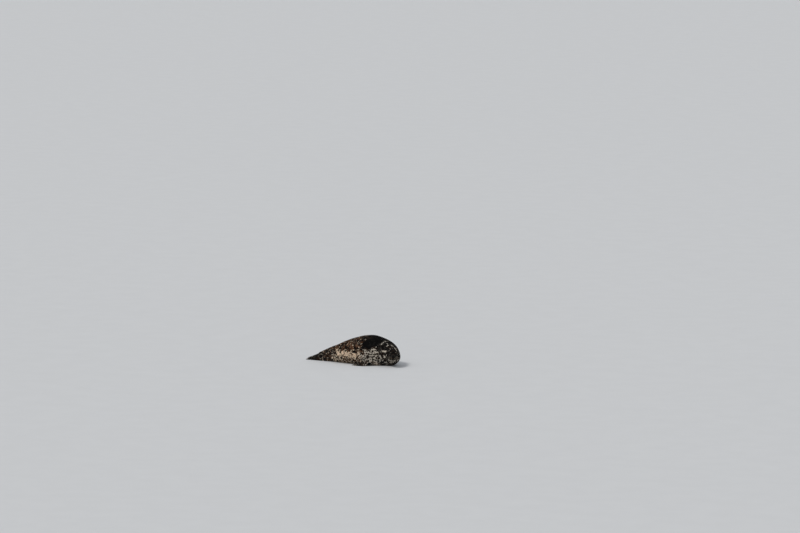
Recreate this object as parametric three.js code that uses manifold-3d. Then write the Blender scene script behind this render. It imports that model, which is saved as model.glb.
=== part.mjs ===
// A harbour seal resting on its belly, as a still life-size model.
// Millimetres, +Z up, the floor at Z = 0. The trunk lies along X with the head towards +X, and the
// neck turns the head to the animal's right, towards -Y. The origin is the middle of the footprint.
//
// The body is a loft: upright sections stand along a spine that runs from the nose to the tail, each
// a superellipse with its own width, back, widest height and belly. Swellings and hollows then move
// the surface within its section. The flippers are lofts of flat sections with five toes. The body
// is parted by thin cuts where the animal's parts meet.
import * as THREE from "three";
import { mergeVertices } from "three/addons/utils/BufferGeometryUtils.js";
import Module from "manifold-3d";

const wasm = await Module();
wasm.setup();

// ---- Driving dimensions ----

const BODY_LENGTH = 1375; // from the nose to the tail's tip, along the spine
const HUMP = 590; // from the nose to the highest point of the back
const HEAD_TURN = THREE.MathUtils.degToRad(61); // how far the head is turned from the trunk
const TURN_FROM = 100; // the neck bends between these distances from the nose
const TURN_TO = 480;
const HEAD_HEIGHT = 140; // the head's own level above the floor
const CUT = 0.3; // half the gap between two neighbouring pieces
const SKIRT = 12; // how softly the body's sides turn under where they meet the floor
const SIDES = 32; // facets round the body

// Distance from the nose, half width, back, widest height, belly, squareness of back and of belly.
// Heights of the head's sections are measured from the head's level, and of the rest from the floor.
const HEAD_SECTIONS = [
  [0, 0, 5, 5, 5, 2.0, 2.0],
  [4, 22, 21, 0, -18, 2.3, 2.2],
  [11, 34, 27, -5, -31, 2.3, 2.2],
  [23, 43, 31, -10, -40, 2.2, 2.2],
  [40, 48, 36, -12, -47, 2.1, 2.2],
  [58, 54, 45, -9, -53, 2.0, 2.1],
  [76, 63, 56, -5, -59, 2.0, 2.1],
  [100, 75, 68, -5, -66, 2.1, 2.1],
  [130, 85, 78, -7, -75, 2.1, 2.1],
  [165, 92, 86, -10, -88, 2.0, 2.1],
  [205, 103, 99, -16, -108, 2.0, 2.1],
];
const BODY_SECTIONS = [
  [250, 120, 264, 118, 12, 2.0, 2.2],
  [310, 150, 298, 120, -8, 2.0, 2.4],
  [390, 183, 332, 128, -16, 2.0, 2.5],
  [480, 207, 359, 138, -20, 2.05, 2.6],
  [590, 217, 374, 142, -20, 2.1, 2.6],
  [690, 214, 362, 138, -20, 2.1, 2.6],
  [790, 204, 338, 128, -18, 2.1, 2.6],
  [880, 188, 309, 116, -16, 2.05, 2.5],
  [975, 162, 272, 102, -14, 2.0, 2.4],
  [1070, 128, 230, 88, -12, 2.0, 2.3],
  [1160, 94, 193, 76, -8, 2.0, 2.2],
  [1230, 66, 164, 72, 6, 2.0, 2.1],
  [1280, 44, 140, 88, 48, 2.0, 2.0],
  [1320, 31, 121, 94, 73, 2.1, 2.1],
  [1357, 24, 105, 86, 73, 2.1, 2.1],
  [BODY_LENGTH, 0, 83, 83, 83, 2.0, 2.0],
];

// Swellings and hollows: place along the spine, to the side, and above the head's level; how far
// each one reaches, in those three directions; and how far it moves the surface outwards.
const WHISKER_PAD = { at: [20, 27, -16], reach: [15, 15, 15], rise: 5 };
const NOSE_BRIDGE = { at: [34, 0, 34], reach: [26, 14, 12], rise: 2 };
const STOP_HOLLOW = { at: [60, 0, 48], reach: [14, 22, 14], rise: -2 };
const BROW = { at: [84, 30, 50], reach: [14, 14, 12], rise: 4 };
const EYE_HOLLOW = { at: [69, 48, 24], reach: [14, 14, 13], rise: -6 };
const CHEEK = { at: [104, 70, -14], reach: [26, 20, 24], rise: 5 };
const CHIN = { at: [20, 0, -42], reach: [14, 20, 12], rise: 3 };
const JAW_HOLLOW = { at: [66, 34, -46], reach: [22, 18, 16], rise: -3 };
const FEATURES = [WHISKER_PAD, NOSE_BRIDGE, STOP_HOLLOW, BROW, EYE_HOLLOW, CHEEK, CHIN, JAW_HOLLOW];

// The nose pad, cut from the muzzle, and the mouth line that parts the lower jaw from it.
const NOSE_PAD = { at: [7, 0, 10], half: [15, 16, 12.5] };
const MOUTH = { height: -24, slope: 0.1, thickness: 0.8 };

// The eyeballs: place of the centre and radius, in the head's own directions.
const EYE = { at: [81.5, 38.5, 20], radius: 19.5 };

// The pieces of the body and where each ends, measured from the nose.
const PIECES = [
  { name: "muzzle", to: 52, rings: 9, colour: "muzzle" },
  { name: "head", to: 205, rings: 12, colour: "face" },
  { name: "neck", to: 330, rings: 7, colour: "back" },
  { name: "shoulders", to: 640, rings: 9, colour: "back" },
  { name: "trunk", to: 980, rings: 8, colour: "coat" },
  { name: "hips", to: 1262, rings: 8, colour: "coat" },
  { name: "tail", to: BODY_LENGTH, rings: 7, colour: "back" },
];

// The flippers. Each section: distance from the nose, distance to the side, height, half breadth,
// half thickness and how far the blade leans from upright, in degrees.
const FORE_FLIPPER = {
  sections: [
    [440, 130, 80, 40, 24, 40],
    [480, 162, 66, 50, 24, 46],
    [530, 198, 45, 54, 20, 53],
    [590, 220, 30, 52, 15, 59],
    [650, 229, 21, 48, 11, 64],
    [695, 230, 16, 43, 7.5, 67],
  ],
  steps: 11,
  slant: -24, // the toe at the leading edge reaches farthest
  scallop: 5,
  toes: 5,
  toeRidge: 0.16,
  claw: { length: 27, radius: 4.2, rootInside: 10, droop: 5 },
};
const HIND_FLIPPER = {
  sections: [
    [1140, 46, 71, 69, 40, 0],
    [1200, 48, 65, 68, 33, 2],
    [1260, 45, 58, 63, 24, 5],
    [1310, 42, 52, 57, 17, 8],
    [1370, 38, 42, 47, 11.5, 11],
    [1430, 34, 32, 36, 8, 14],
    [1480, 31, 24, 27, 6, 16],
    [1515, 29, 18, 19, 4.5, 17],
  ],
  steps: 12,
  slant: -20,
  scallop: 4,
  toes: 5,
  toeRidge: 0.22,
  claw: { length: 15, radius: 2.4, rootInside: 6, droop: 1 },
};
const FLIPPER_SIDES = 16;
const TOES_FROM = 0.45; // the share of a flipper's length from which its toes begin to show
const CLAW_SIDES = 6;
const CLAW_STEPS = 3;
const CLAW_OUTWARD = 0.25; // claws leave the toes nearer to the flipper's outer face
const CLAW_CLEARANCE = 3; // between a claw and the floor

const COLOURS = {
  coat: { color: 0x6f675c, roughness: 0.75 },
  back: { color: 0x2b2a2a, roughness: 0.7 },
  face: { color: 0x4a4642, roughness: 0.7 },
  muzzle: { color: 0x8c857a, roughness: 0.7 },
  flipper: { color: 0x3b3835, roughness: 0.65 },
  nose: { color: 0x151414, roughness: 0.4 },
  eye: { color: 0x0c0806, roughness: 0.08 },
  claw: { color: 0x2a221c, roughness: 0.4 },
};

// ---- Curves ----

// A smooth curve through rows of numbers, whose first number is the place along it. Places are
// measured by `measure`, which can stretch the ends so that they close as round ones.
function curveThrough(rows, measure = (x) => x) {
  const at = rows.map((row) => measure(row[0]));
  const slopes = rows.map((row, i) => {
    const before = Math.max(i - 1, 0);
    const after = Math.min(i + 1, rows.length - 1);
    const rise = (from, to, k) => (rows[to][k] - rows[from][k]) / (at[to] - at[from]);
    return row.map((_, k) => {
      if (i === before || i === after) return rise(before, after, k);
      const near = at[after] - at[i];
      const far = at[i] - at[before];
      return (rise(before, i, k) * near + rise(i, after, k) * far) / (near + far);
    });
  });
  return (place) => {
    const x = measure(place);
    let i = 0;
    while (i < rows.length - 2 && x > at[i + 1]) i += 1;
    const span = at[i + 1] - at[i];
    const t = (x - at[i]) / span;
    return rows[i].map((from, k) => {
      const to = rows[i + 1][k];
      const leave = slopes[i][k] * span;
      const arrive = slopes[i + 1][k] * span;
      const a = 2 * t ** 3 - 3 * t ** 2 + 1;
      const b = t ** 3 - 2 * t ** 2 + t;
      return a * from + b * leave + (1 - a) * to + (t ** 3 - t ** 2) * arrive;
    });
  };
}

const roundEnds = (s) => Math.acos(1 - (2 * Math.min(Math.max(s, 0), BODY_LENGTH)) / BODY_LENGTH);
const lifted = HEAD_SECTIONS.map(([s, w, back, widest, belly, ...square]) => [
  s,
  w,
  back + HEAD_HEIGHT,
  widest + HEAD_HEIGHT,
  belly + HEAD_HEIGHT,
  ...square,
]);
const sectionAt = curveThrough([...lifted, ...BODY_SECTIONS], roundEnds);

// The direction of the head end at a distance from the nose, as an angle from +X.
function heading(s) {
  return -HEAD_TURN * (1 - THREE.MathUtils.smoothstep(s, TURN_FROM, TURN_TO));
}

// Points of the spine on the floor plan, found by walking from the tail to the nose.
const STEP = 1;
const SPINE = [];
for (let s = BODY_LENGTH, x = HUMP - BODY_LENGTH, y = 0; s >= 0; s -= STEP) {
  SPINE[s / STEP] = [x, y];
  x += STEP * Math.cos(heading(s - STEP / 2));
  y += STEP * Math.sin(heading(s - STEP / 2));
}

// A point of the model from its distance from the nose, its distance to the animal's left, and height.
function place(s, left, height) {
  const i = Math.min(Math.max(Math.floor(s / STEP), 0), SPINE.length - 2);
  const past = s / STEP - i;
  const [x0, y0] = SPINE[i];
  const [x1, y1] = SPINE[i + 1];
  const turn = heading(s);
  return new THREE.Vector3(
    x0 + (x1 - x0) * past - left * Math.sin(turn),
    y0 + (y1 - y0) * past + left * Math.cos(turn),
    height,
  );
}

// ---- The body's surface ----

// A height near or below the floor is turned smoothly onto it.
function rested(height) {
  if (height <= -SKIRT) return 0;
  if (height >= SKIRT) return height;
  return (height + SKIRT) ** 2 / (4 * SKIRT);
}

function swelling(s, left, height) {
  let rise = 0;
  for (const { at, reach, rise: full } of FEATURES) {
    const dx = (s - at[0]) / reach[0];
    const dy = (Math.abs(left) - at[1]) / reach[1];
    const dz = (height - HEAD_HEIGHT - at[2]) / reach[2];
    rise += full * Math.exp(-(dx * dx + dy * dy + dz * dz));
  }
  return rise;
}

// The ring of the body's surface at a distance from the nose.
function bodyRing(s) {
  const [, width, back, widest, belly, squareBack, squareBelly] = sectionAt(s);
  const power = (v, square) => Math.sign(v) * Math.abs(v) ** (2 / square);
  const ring = [];
  for (let i = 0; i < SIDES; i += 1) {
    const angle = (2 * Math.PI * i) / SIDES;
    const up = Math.cos(angle);
    const square = up > 0 ? squareBack : squareBelly;
    const reach = up > 0 ? back - widest : widest - belly;
    let left = width * power(Math.sin(angle), square);
    let height = widest + reach * power(up, square);
    const out = Math.hypot(left, height - widest) || 1;
    const grown = 1 + swelling(s, left, height) / out;
    left *= grown;
    height = widest + (height - widest) * grown;
    ring.push(place(s, left, rested(height)));
  }
  return ring;
}

// A closed geometry through rings of points. An end is a point, or a flat cap where it is null.
function loft(rings, first = null, last = null) {
  const sides = rings[0].length;
  const points = rings.flat();
  const faces = [];
  for (let i = 0; i + 1 < rings.length; i += 1) {
    for (let k = 0; k < sides; k += 1) {
      const a = i * sides + k;
      const b = i * sides + ((k + 1) % sides);
      faces.push(a, b, a + sides, b, b + sides, a + sides);
    }
  }
  const close = (ring, tip, flip) => {
    const start = ring * sides;
    const centre = new THREE.Vector3();
    rings[ring].forEach((p) => centre.addScaledVector(p, 1 / sides));
    points.push(tip ?? centre);
    const hub = points.length - 1;
    for (let k = 0; k < sides; k += 1) {
      const a = start + k;
      const b = start + ((k + 1) % sides);
      faces.push(...(flip ? [a, b, hub] : [b, a, hub]));
    }
  };
  close(0, first, false);
  close(rings.length - 1, last, true);
  const geometry = new THREE.BufferGeometry();
  geometry.setAttribute("position", new THREE.Float32BufferAttribute(points.flatMap((p) => p.toArray()), 3));
  geometry.setIndex(faces);
  return geometry;
}

// Ring places between two cuts. Round ends get closer rings.
function ringPlaces(from, to, count) {
  const start = from > 0 ? from + CUT : 0;
  const end = to < BODY_LENGTH ? to - CUT : BODY_LENGTH;
  const low = roundEnds(start);
  const high = roundEnds(end);
  const places = [];
  for (let i = 0; i <= count; i += 1) {
    const angle = low + ((high - low) * i) / count;
    places.push((BODY_LENGTH * (1 - Math.cos(angle))) / 2);
  }
  return places;
}

function bodyPiece(from, to, count) {
  let places = ringPlaces(from, to, count);
  const tip = (s) => place(s, 0, sectionAt(s)[2]);
  const first = from > 0 ? null : tip(0);
  const last = to < BODY_LENGTH ? null : tip(BODY_LENGTH);
  if (first) places = places.slice(1);
  if (last) places = places.slice(0, -1);
  return loft(places.map(bodyRing), first, last);
}

// ---- Solids that are cut by their neighbours ----

function solidOf(geometry) {
  const bare = geometry.clone();
  bare.deleteAttribute("normal");
  bare.deleteAttribute("uv");
  const merged = mergeVertices(bare, 1e-4);
  return new wasm.Manifold(
    new wasm.Mesh({
      numProp: 3,
      vertProperties: new Float32Array(merged.attributes.position.array),
      triVerts: new Uint32Array(merged.index.array),
    }),
  );
}

function geometryOf(solid) {
  const mesh = solid.getMesh();
  const positions = new Float32Array(mesh.numVert * 3);
  for (let i = 0; i < mesh.numVert; i += 1) {
    positions.set(mesh.vertProperties.subarray(i * mesh.numProp, i * mesh.numProp + 3), i * 3);
  }
  const geometry = new THREE.BufferGeometry();
  geometry.setAttribute("position", new THREE.BufferAttribute(positions, 3));
  geometry.setIndex(new THREE.BufferAttribute(mesh.triVerts, 1));
  return geometry;
}

// The largest body of a solid, without the crumbs that a cut can leave.
function largest(solid) {
  return solid.decompose().reduce((a, b) => (b.volume() > a.volume() ? b : a));
}

// A ball or oval of the head, turned with it. Radii are along the head, across it and up.
function headOval(at, side, radii, columns, rows) {
  const oval = new THREE.SphereGeometry(1, columns, rows);
  oval.rotateX(Math.PI / 2);
  oval.scale(...radii);
  oval.rotateZ(heading(at[0]));
  const centre = place(at[0], side * at[1], HEAD_HEIGHT + at[2]);
  return oval.translate(centre.x, centre.y, centre.z);
}

function eyeball(side, growth) {
  const radius = EYE.radius + growth;
  return headOval(EYE.at, side, [radius, radius, radius], 14, 8);
}

function nosePad(growth) {
  const radii = NOSE_PAD.half.map((half) => half + growth);
  return headOval(NOSE_PAD.at, 0, radii, 14, 8);
}

// A thin slab along the mouth line, wider than the muzzle and deeper than the head.
function mouthSlab() {
  const reach = 80;
  const slab = new THREE.BoxGeometry(2 * reach, 2 * reach, MOUTH.thickness);
  slab.rotateY(Math.atan(MOUTH.slope));
  slab.rotateZ(heading(0));
  const centre = place(0, 0, HEAD_HEIGHT + MOUTH.height);
  return slab.translate(centre.x, centre.y, centre.z);
}

// ---- Flippers ----

// A point of a flipper: along it, across it from -1 at the lower edge to 1 at the upper, and a share
// of its thickness from -1 inside to 1 outside.
function flipperPlace(flipper, side, s, across, outward) {
  const [, left, height, breadth, thickness, lean] = curveThrough(flipper.sections)(s);
  const tilt = THREE.MathUtils.degToRad(lean);
  const edge = across * breadth;
  const depth = outward * thickness;
  const out = left - edge * Math.sin(tilt) + depth * Math.cos(tilt);
  const up = height + edge * Math.cos(tilt) + depth * Math.sin(tilt);
  return new THREE.Vector3(HUMP - s, side * out, Math.max(up, 0));
}

function flipperEnds({ sections }) {
  return [sections[0][0], sections[sections.length - 1][0]];
}

// A wave across the flipper, high on each toe and low between two.
function toeWave({ toes }, across) {
  return Math.cos(Math.PI * (toes * (across + 1) - 1));
}

// How far past its last section a flipper reaches at a place across it: its toes are stepped.
function toeReach(flipper, across) {
  return flipper.slant * across + flipper.scallop * toeWave(flipper, across);
}

function flipperGeometry(flipper, side) {
  const [from, to] = flipperEnds(flipper);
  const rings = [];
  for (let i = 0; i <= flipper.steps; i += 1) {
    const share = i / flipper.steps;
    const s = from + (to - from) * share;
    const towardsTip = THREE.MathUtils.smoothstep(share, TOES_FROM, 1);
    const ring = [];
    for (let k = 0; k < FLIPPER_SIDES; k += 1) {
      const angle = (2 * Math.PI * k) / FLIPPER_SIDES;
      const across = Math.cos(angle);
      const ridge = flipper.toeRidge * toeWave(flipper, across) * towardsTip;
      const outward = Math.sin(angle) * (1 + ridge);
      const point = flipperPlace(flipper, side, s, across, outward);
      point.x -= towardsTip * toeReach(flipper, across);
      ring.push(point);
    }
    rings.push(side > 0 ? ring : ring.reverse());
  }
  return loft(rings);
}

// A claw: a cone that leaves the end of a toe and droops towards its tip.
function clawGeometry(flipper, side, toe, grown = 0) {
  const { length, radius, rootInside, droop } = flipper.claw;
  const across = -1 + (2 * toe + 1) / flipper.toes;
  const [, to] = flipperEnds(flipper);
  const base = flipperPlace(flipper, side, to, across, CLAW_OUTWARD);
  base.x -= toeReach(flipper, across);
  base.z = Math.max(base.z, radius + CLAW_CLEARANCE);
  const rings = [];
  for (let i = 0; i < CLAW_STEPS; i += 1) {
    const share = i / CLAW_STEPS;
    const thick = (radius + grown) * Math.sqrt(1 - share ** 2);
    const along = -rootInside - grown + (length + grown) * share;
    const drop = droop * share ** 2;
    const ring = [];
    for (let k = 0; k < CLAW_SIDES; k += 1) {
      const angle = (-2 * Math.PI * k) / CLAW_SIDES;
      const offset = new THREE.Vector3(-along, thick * Math.cos(angle), thick * Math.sin(angle) - drop);
      ring.push(base.clone().add(offset));
    }
    rings.push(ring);
  }
  const tip = base.clone().add(new THREE.Vector3(rootInside - length, 0, -droop));
  return loft(rings, null, tip);
}

// ---- The animal ----

const seal = new THREE.Group();

function add(name, colour, geometry) {
  const mesh = new THREE.Mesh(geometry, new THREE.MeshStandardMaterial(COLOURS[colour]));
  mesh.name = name;
  mesh.geometry.computeVertexNormals();
  seal.add(mesh);
}

function addHeadPieces(muzzle, head) {
  let skull = head;
  for (const [side, name] of [[1, "eye_left"], [-1, "eye_right"]]) {
    skull = skull.subtract(solidOf(eyeball(side, CUT)));
    add(name, "eye", eyeball(side, 0));
  }
  add("head", "face", geometryOf(largest(skull)));
  const pad = muzzle.intersect(solidOf(nosePad(0)));
  add("nose", "nose", geometryOf(largest(pad)));
  const rest = muzzle.subtract(solidOf(nosePad(CUT))).subtract(solidOf(mouthSlab()));
  const parts = rest.decompose().sort((a, b) => b.volume() - a.volume()).slice(0, 2);
  const level = (part) => part.boundingBox().max[2];
  const [upper, lower] = parts.sort((a, b) => level(b) - level(a));
  add("muzzle", "muzzle", geometryOf(upper));
  add("lower_jaw", "muzzle", geometryOf(lower));
}

function addFlipper(kind, flipper, side, body) {
  const where = side > 0 ? "left" : "right";
  let blade = solidOf(flipperGeometry(flipper, side));
  for (const piece of body) blade = blade.subtract(piece);
  for (let toe = 0; toe < flipper.toes; toe += 1) {
    blade = blade.subtract(solidOf(clawGeometry(flipper, side, toe, CUT)));
    add(`${kind}_claw_${where}_${toe + 1}`, "claw", clawGeometry(flipper, side, toe));
  }
  add(`${kind}_flipper_${where}`, "flipper", geometryOf(largest(blade)));
}

const solids = {};
let from = 0;
for (const { name, to, rings } of PIECES) {
  solids[name] = solidOf(bodyPiece(from, to, rings));
  from = to;
}
addHeadPieces(solids.muzzle, solids.head);
for (const { name, colour } of PIECES.slice(2)) add(name, colour, geometryOf(solids[name]));
const whole = [solids.shoulders, solids.trunk, solids.hips, solids.tail];
for (const side of [1, -1]) {
  addFlipper("fore", FORE_FLIPPER, side, whole);
  addFlipper("hind", HIND_FLIPPER, side, whole);
}

// The origin goes to the middle of the footprint.
const centre = new THREE.Box3().setFromObject(seal).getCenter(new THREE.Vector3());
seal.position.set(-centre.x, -centre.y, 0);

export default seal;
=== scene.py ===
"""A spotted seal resting on its belly: skin, coat, eyes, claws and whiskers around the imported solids.

The skin follows the same loft as the solids and lies inside them by the coat's depth. Shapes are worked
out in millimetres, in the frame of the solids, and become metres in mesh_object().
"""
import math

import bpy
import numpy as np
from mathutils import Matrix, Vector
from mathutils.bvhtree import BVHTree
from mathutils.kdtree import KDTree


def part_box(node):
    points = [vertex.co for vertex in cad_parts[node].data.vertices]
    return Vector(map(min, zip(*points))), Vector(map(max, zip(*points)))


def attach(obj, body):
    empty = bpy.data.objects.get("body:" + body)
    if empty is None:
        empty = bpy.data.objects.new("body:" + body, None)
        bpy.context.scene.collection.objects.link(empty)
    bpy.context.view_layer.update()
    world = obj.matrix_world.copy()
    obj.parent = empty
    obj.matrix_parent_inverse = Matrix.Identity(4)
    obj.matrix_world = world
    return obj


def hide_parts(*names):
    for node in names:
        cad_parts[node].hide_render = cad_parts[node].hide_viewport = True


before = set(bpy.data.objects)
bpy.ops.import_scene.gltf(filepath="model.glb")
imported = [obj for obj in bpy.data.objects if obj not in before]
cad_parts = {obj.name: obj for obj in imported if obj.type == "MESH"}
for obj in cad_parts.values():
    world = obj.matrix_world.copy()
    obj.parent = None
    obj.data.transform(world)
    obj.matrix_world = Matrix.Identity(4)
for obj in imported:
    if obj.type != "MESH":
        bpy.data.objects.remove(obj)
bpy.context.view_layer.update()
MM = 0.001
RANDOM = np.random.default_rng(7)

# ---- Driving dimensions of the body, in millimetres ----

BODY_LENGTH = 1375
HUMP = 590
HEAD_TURN = math.radians(61)
TURN_FROM = 100
TURN_TO = 480
HEAD_HEIGHT = 140
SKIRT = 12
TRUNK_MIDDLE = 810  # along the spine, from the nose

# Distance from the nose, half width, back, widest height, belly, squareness of back and of belly.
# Heights of the head's sections are measured from the head's level.
HEAD_SECTIONS = [
    (0, 0, 5, 5, 5, 2.0, 2.0),
    (4, 22, 21, 0, -18, 2.3, 2.2),
    (11, 34, 27, -5, -31, 2.3, 2.2),
    (23, 43, 31, -10, -40, 2.2, 2.2),
    (40, 48, 36, -12, -47, 2.1, 2.2),
    (58, 54, 45, -9, -53, 2.0, 2.1),
    (76, 63, 56, -5, -59, 2.0, 2.1),
    (100, 75, 68, -5, -66, 2.1, 2.1),
    (130, 85, 78, -7, -75, 2.1, 2.1),
    (165, 92, 86, -10, -88, 2.0, 2.1),
    (205, 103, 99, -16, -108, 2.0, 2.1),
]
BODY_SECTIONS = [
    (250, 120, 264, 118, 12, 2.0, 2.2),
    (310, 150, 298, 120, -8, 2.0, 2.4),
    (390, 183, 332, 128, -16, 2.0, 2.5),
    (480, 207, 359, 138, -20, 2.05, 2.6),
    (590, 217, 374, 142, -20, 2.1, 2.6),
    (690, 214, 362, 138, -20, 2.1, 2.6),
    (790, 204, 338, 128, -18, 2.1, 2.6),
    (880, 188, 309, 116, -16, 2.05, 2.5),
    (975, 162, 272, 102, -14, 2.0, 2.4),
    (1070, 128, 230, 88, -12, 2.0, 2.3),
    (1160, 94, 193, 76, -8, 2.0, 2.2),
    (1230, 66, 164, 72, 6, 2.0, 2.1),
    (1280, 44, 140, 88, 48, 2.0, 2.0),
    (1320, 31, 121, 94, 73, 2.1, 2.1),
    (1357, 24, 105, 86, 73, 2.1, 2.1),
    (BODY_LENGTH, 0, 83, 83, 83, 2.0, 2.0),
]

# Swellings and hollows of the head: place, reach and rise, as in the solids.
FEATURES = [
    ((20, 27, -16), (15, 15, 15), 5),  # whisker pad
    ((34, 0, 34), (26, 14, 12), 2),  # bridge of the nose
    ((60, 0, 48), (14, 22, 14), -2),  # stop
    ((84, 30, 50), (14, 14, 12), 4),  # brow
    ((69, 48, 24), (14, 14, 13), -6),  # eye hollow
    ((104, 70, -14), (26, 20, 24), 5),  # cheek
    ((20, 0, -42), (14, 20, 12), 3),  # chin
    ((66, 34, -46), (22, 18, 16), -3),  # jaw hollow
]
EYE_AT = np.array([81.5, 38.5, 20])
EYE_RADIUS = 19.5
NOSE_PAD_AT = np.array([7, 0, 10])
NOSE_PAD_HALF = np.array([15, 16, 12.5])

# Each flipper section: distance from the nose, distance to the side, height, half breadth, half
# thickness and how far the blade leans from upright, in degrees.
FORE = {
    "sections": [
        (440, 130, 80, 40, 24, 40),
        (480, 162, 66, 50, 24, 46),
        (530, 198, 45, 54, 20, 53),
        (590, 220, 30, 52, 15, 59),
        (650, 229, 21, 48, 11, 64),
        (695, 230, 16, 43, 7.5, 67),
    ],
    "slant": -24,
    "scallop": 5,
    "ridge": 0.3,
    "claw": {"length": 27, "radius": 4.2, "root": 10, "droop": 5},
}
HIND = {
    "sections": [
        (1140, 46, 71, 69, 40, 0),
        (1200, 48, 65, 68, 33, 2),
        (1260, 45, 58, 63, 24, 5),
        (1310, 42, 52, 57, 17, 8),
        (1370, 38, 42, 47, 11.5, 11),
        (1430, 34, 32, 36, 8, 14),
        (1480, 31, 24, 27, 6, 16),
        (1515, 29, 18, 19, 4.5, 17),
    ],
    "slant": -20,
    "scallop": 4,
    "ridge": 0.34,
    "claw": {"length": 15, "radius": 2.4, "root": 6, "droop": 1},
}
TOES = 5
TOES_FROM = 0.45
CLAW_OUTWARD = 0.25
CLAW_CLEARANCE = 3
LEFT_RIGHT = ((1, "left"), (-1, "right"))

# ---- Numbers ----


def smoothstep(x, low, high):
    t = np.clip((x - low) / (high - low), 0, 1)
    return t * t * (3 - 2 * t)


def bell(x, middle, reach):
    return np.exp(-(((x - middle) / reach) ** 2))


def ripple(x, middle, reach, rise):
    return rise * bell(x, middle, reach)


def unit(v):
    return v / np.maximum(np.linalg.norm(v, axis=-1, keepdims=True), 1e-9)


def dot(a, b):
    return (a * b).sum(-1, keepdims=True)


def listed(table, x):
    """A value from a table of places and values, straight between its rows."""
    return np.interp(x, *zip(*table))


def all_round(sides):
    """Angles all the way round, in equal steps."""
    return np.arange(sides) * 2 * np.pi / sides


def curve_through(rows, measure=lambda x: x):
    """A smooth curve through rows of numbers, whose first number is the place along it."""
    rows = np.array(rows, float)
    at = measure(rows[:, 0])
    rise = np.diff(rows, axis=0) / np.diff(at)[:, None]
    near, far = np.diff(at)[1:, None], np.diff(at)[:-1, None]
    middle = (rise[:-1] * near + rise[1:] * far) / (near + far)
    slopes = np.vstack([rise[:1], middle, rise[-1:]])

    def curve(place):
        x = measure(np.asarray(place, float))
        i = np.clip(np.searchsorted(at, x, side="left") - 1, 0, len(at) - 2)
        span = (at[i + 1] - at[i])[..., None]
        t = (x - at[i])[..., None] / span
        a = 2 * t**3 - 3 * t**2 + 1
        leave = (t**3 - 2 * t**2 + t) * span
        arrive = (t**3 - t**2) * span
        return a * rows[i] + (1 - a) * rows[i + 1] + leave * slopes[i] + arrive * slopes[i + 1]

    return curve


# ---- The body's surface ----


def round_ends(s):
    """The place along as an angle, which makes both ends of a smooth curve round."""
    return np.arccos(1 - 2 * np.clip(s, 0, BODY_LENGTH) / BODY_LENGTH)


def lifted(row):
    s, width, back, widest, belly, *square = row
    return (s, width, back + HEAD_HEIGHT, widest + HEAD_HEIGHT, belly + HEAD_HEIGHT, *square)


section_at = curve_through([lifted(row) for row in HEAD_SECTIONS] + BODY_SECTIONS, round_ends)


def heading(s):
    return -HEAD_TURN * (1 - smoothstep(s, TURN_FROM, TURN_TO))


def spine_points():
    """The spine on the floor plan at every millimetre, found by walking from the tail to the nose."""
    turns = heading(np.arange(BODY_LENGTH) + 0.5)
    ahead = [np.append(np.cumsum(f(turns)[::-1])[::-1], 0) for f in (np.cos, np.sin)]
    low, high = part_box("trunk")
    middle = (np.array(low) + np.array(high)) / 2 / MM
    shift = middle[:2] - [HUMP - TRUNK_MIDDLE, 0]
    return np.stack([HUMP - BODY_LENGTH + ahead[0], ahead[1]], 1) + shift, shift


SPINE, SHIFT = spine_points()


def place(s, left, height):
    """A point of the model from its place along the spine, its distance left of it and its height."""
    s, left, height = np.broadcast_arrays(*(np.asarray(v, float) for v in (s, left, height)))
    turn = heading(s)
    steps = np.arange(BODY_LENGTH + 1)
    x = np.interp(s, steps, SPINE[:, 0]) - left * np.sin(turn)
    y = np.interp(s, steps, SPINE[:, 1]) + left * np.cos(turn)
    past = np.minimum(s, 0)  # in front of the nose, for whiskers
    return np.stack([x - past * np.cos(turn), y - past * np.sin(turn), height], -1)


def head_place(p):
    """A point of the model from head coordinates: along, left and above the head's level."""
    p = np.asarray(p, float)
    return place(p[..., 0], p[..., 1], p[..., 2] + HEAD_HEIGHT)


NOSE_TIP = head_place((0, 0, 0))
HEAD_TO = heading(0)
HEAD_AXES = np.array([  # along, left and up
    (-math.cos(HEAD_TO), -math.sin(HEAD_TO), 0),
    (-math.sin(HEAD_TO), math.cos(HEAD_TO), 0),
    (0, 0, 1),
])


def to_head(points):
    return (points - NOSE_TIP) @ HEAD_AXES.T


def rested(height):
    """Heights above the floor: what would lie under it is pressed flat, with a soft edge."""
    soft = np.clip(height + SKIRT, 0, 2 * SKIRT) ** 2 / (4 * SKIRT)
    return np.where(height >= SKIRT, height, soft)


def swelling(s, left, height):
    rise = np.zeros(np.shape(left))
    for at, reach, full in FEATURES:
        dx = (s - at[0]) / reach[0]
        dy = (np.abs(left) - at[1]) / reach[1]
        dz = (height - HEAD_HEIGHT - at[2]) / reach[2]
        rise += full * np.exp(-(dx * dx + dy * dy + dz * dz))
    return rise


def body_surface(s, angle):
    """Points of the surface, and the distance left and the height before the body rests."""
    _, width, back, widest, belly, square_back, square_belly = np.moveaxis(section_at(s), -1, 0)
    up = np.cos(angle)
    square = np.where(up > 0, square_back, square_belly)
    reach = np.where(up > 0, back - widest, widest - belly)
    left = width * np.sign(np.sin(angle)) * np.abs(np.sin(angle)) ** (2 / square)
    height = widest + reach * np.sign(up) * np.abs(up) ** (2 / square)
    grown = 1 + swelling(s, left, height) / np.maximum(np.hypot(left, height - widest), 1e-6)
    left = left * grown
    height = widest + (height - widest) * grown
    return place(s, left, rested(height)), left, height


# ---- Meshes ----


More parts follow.
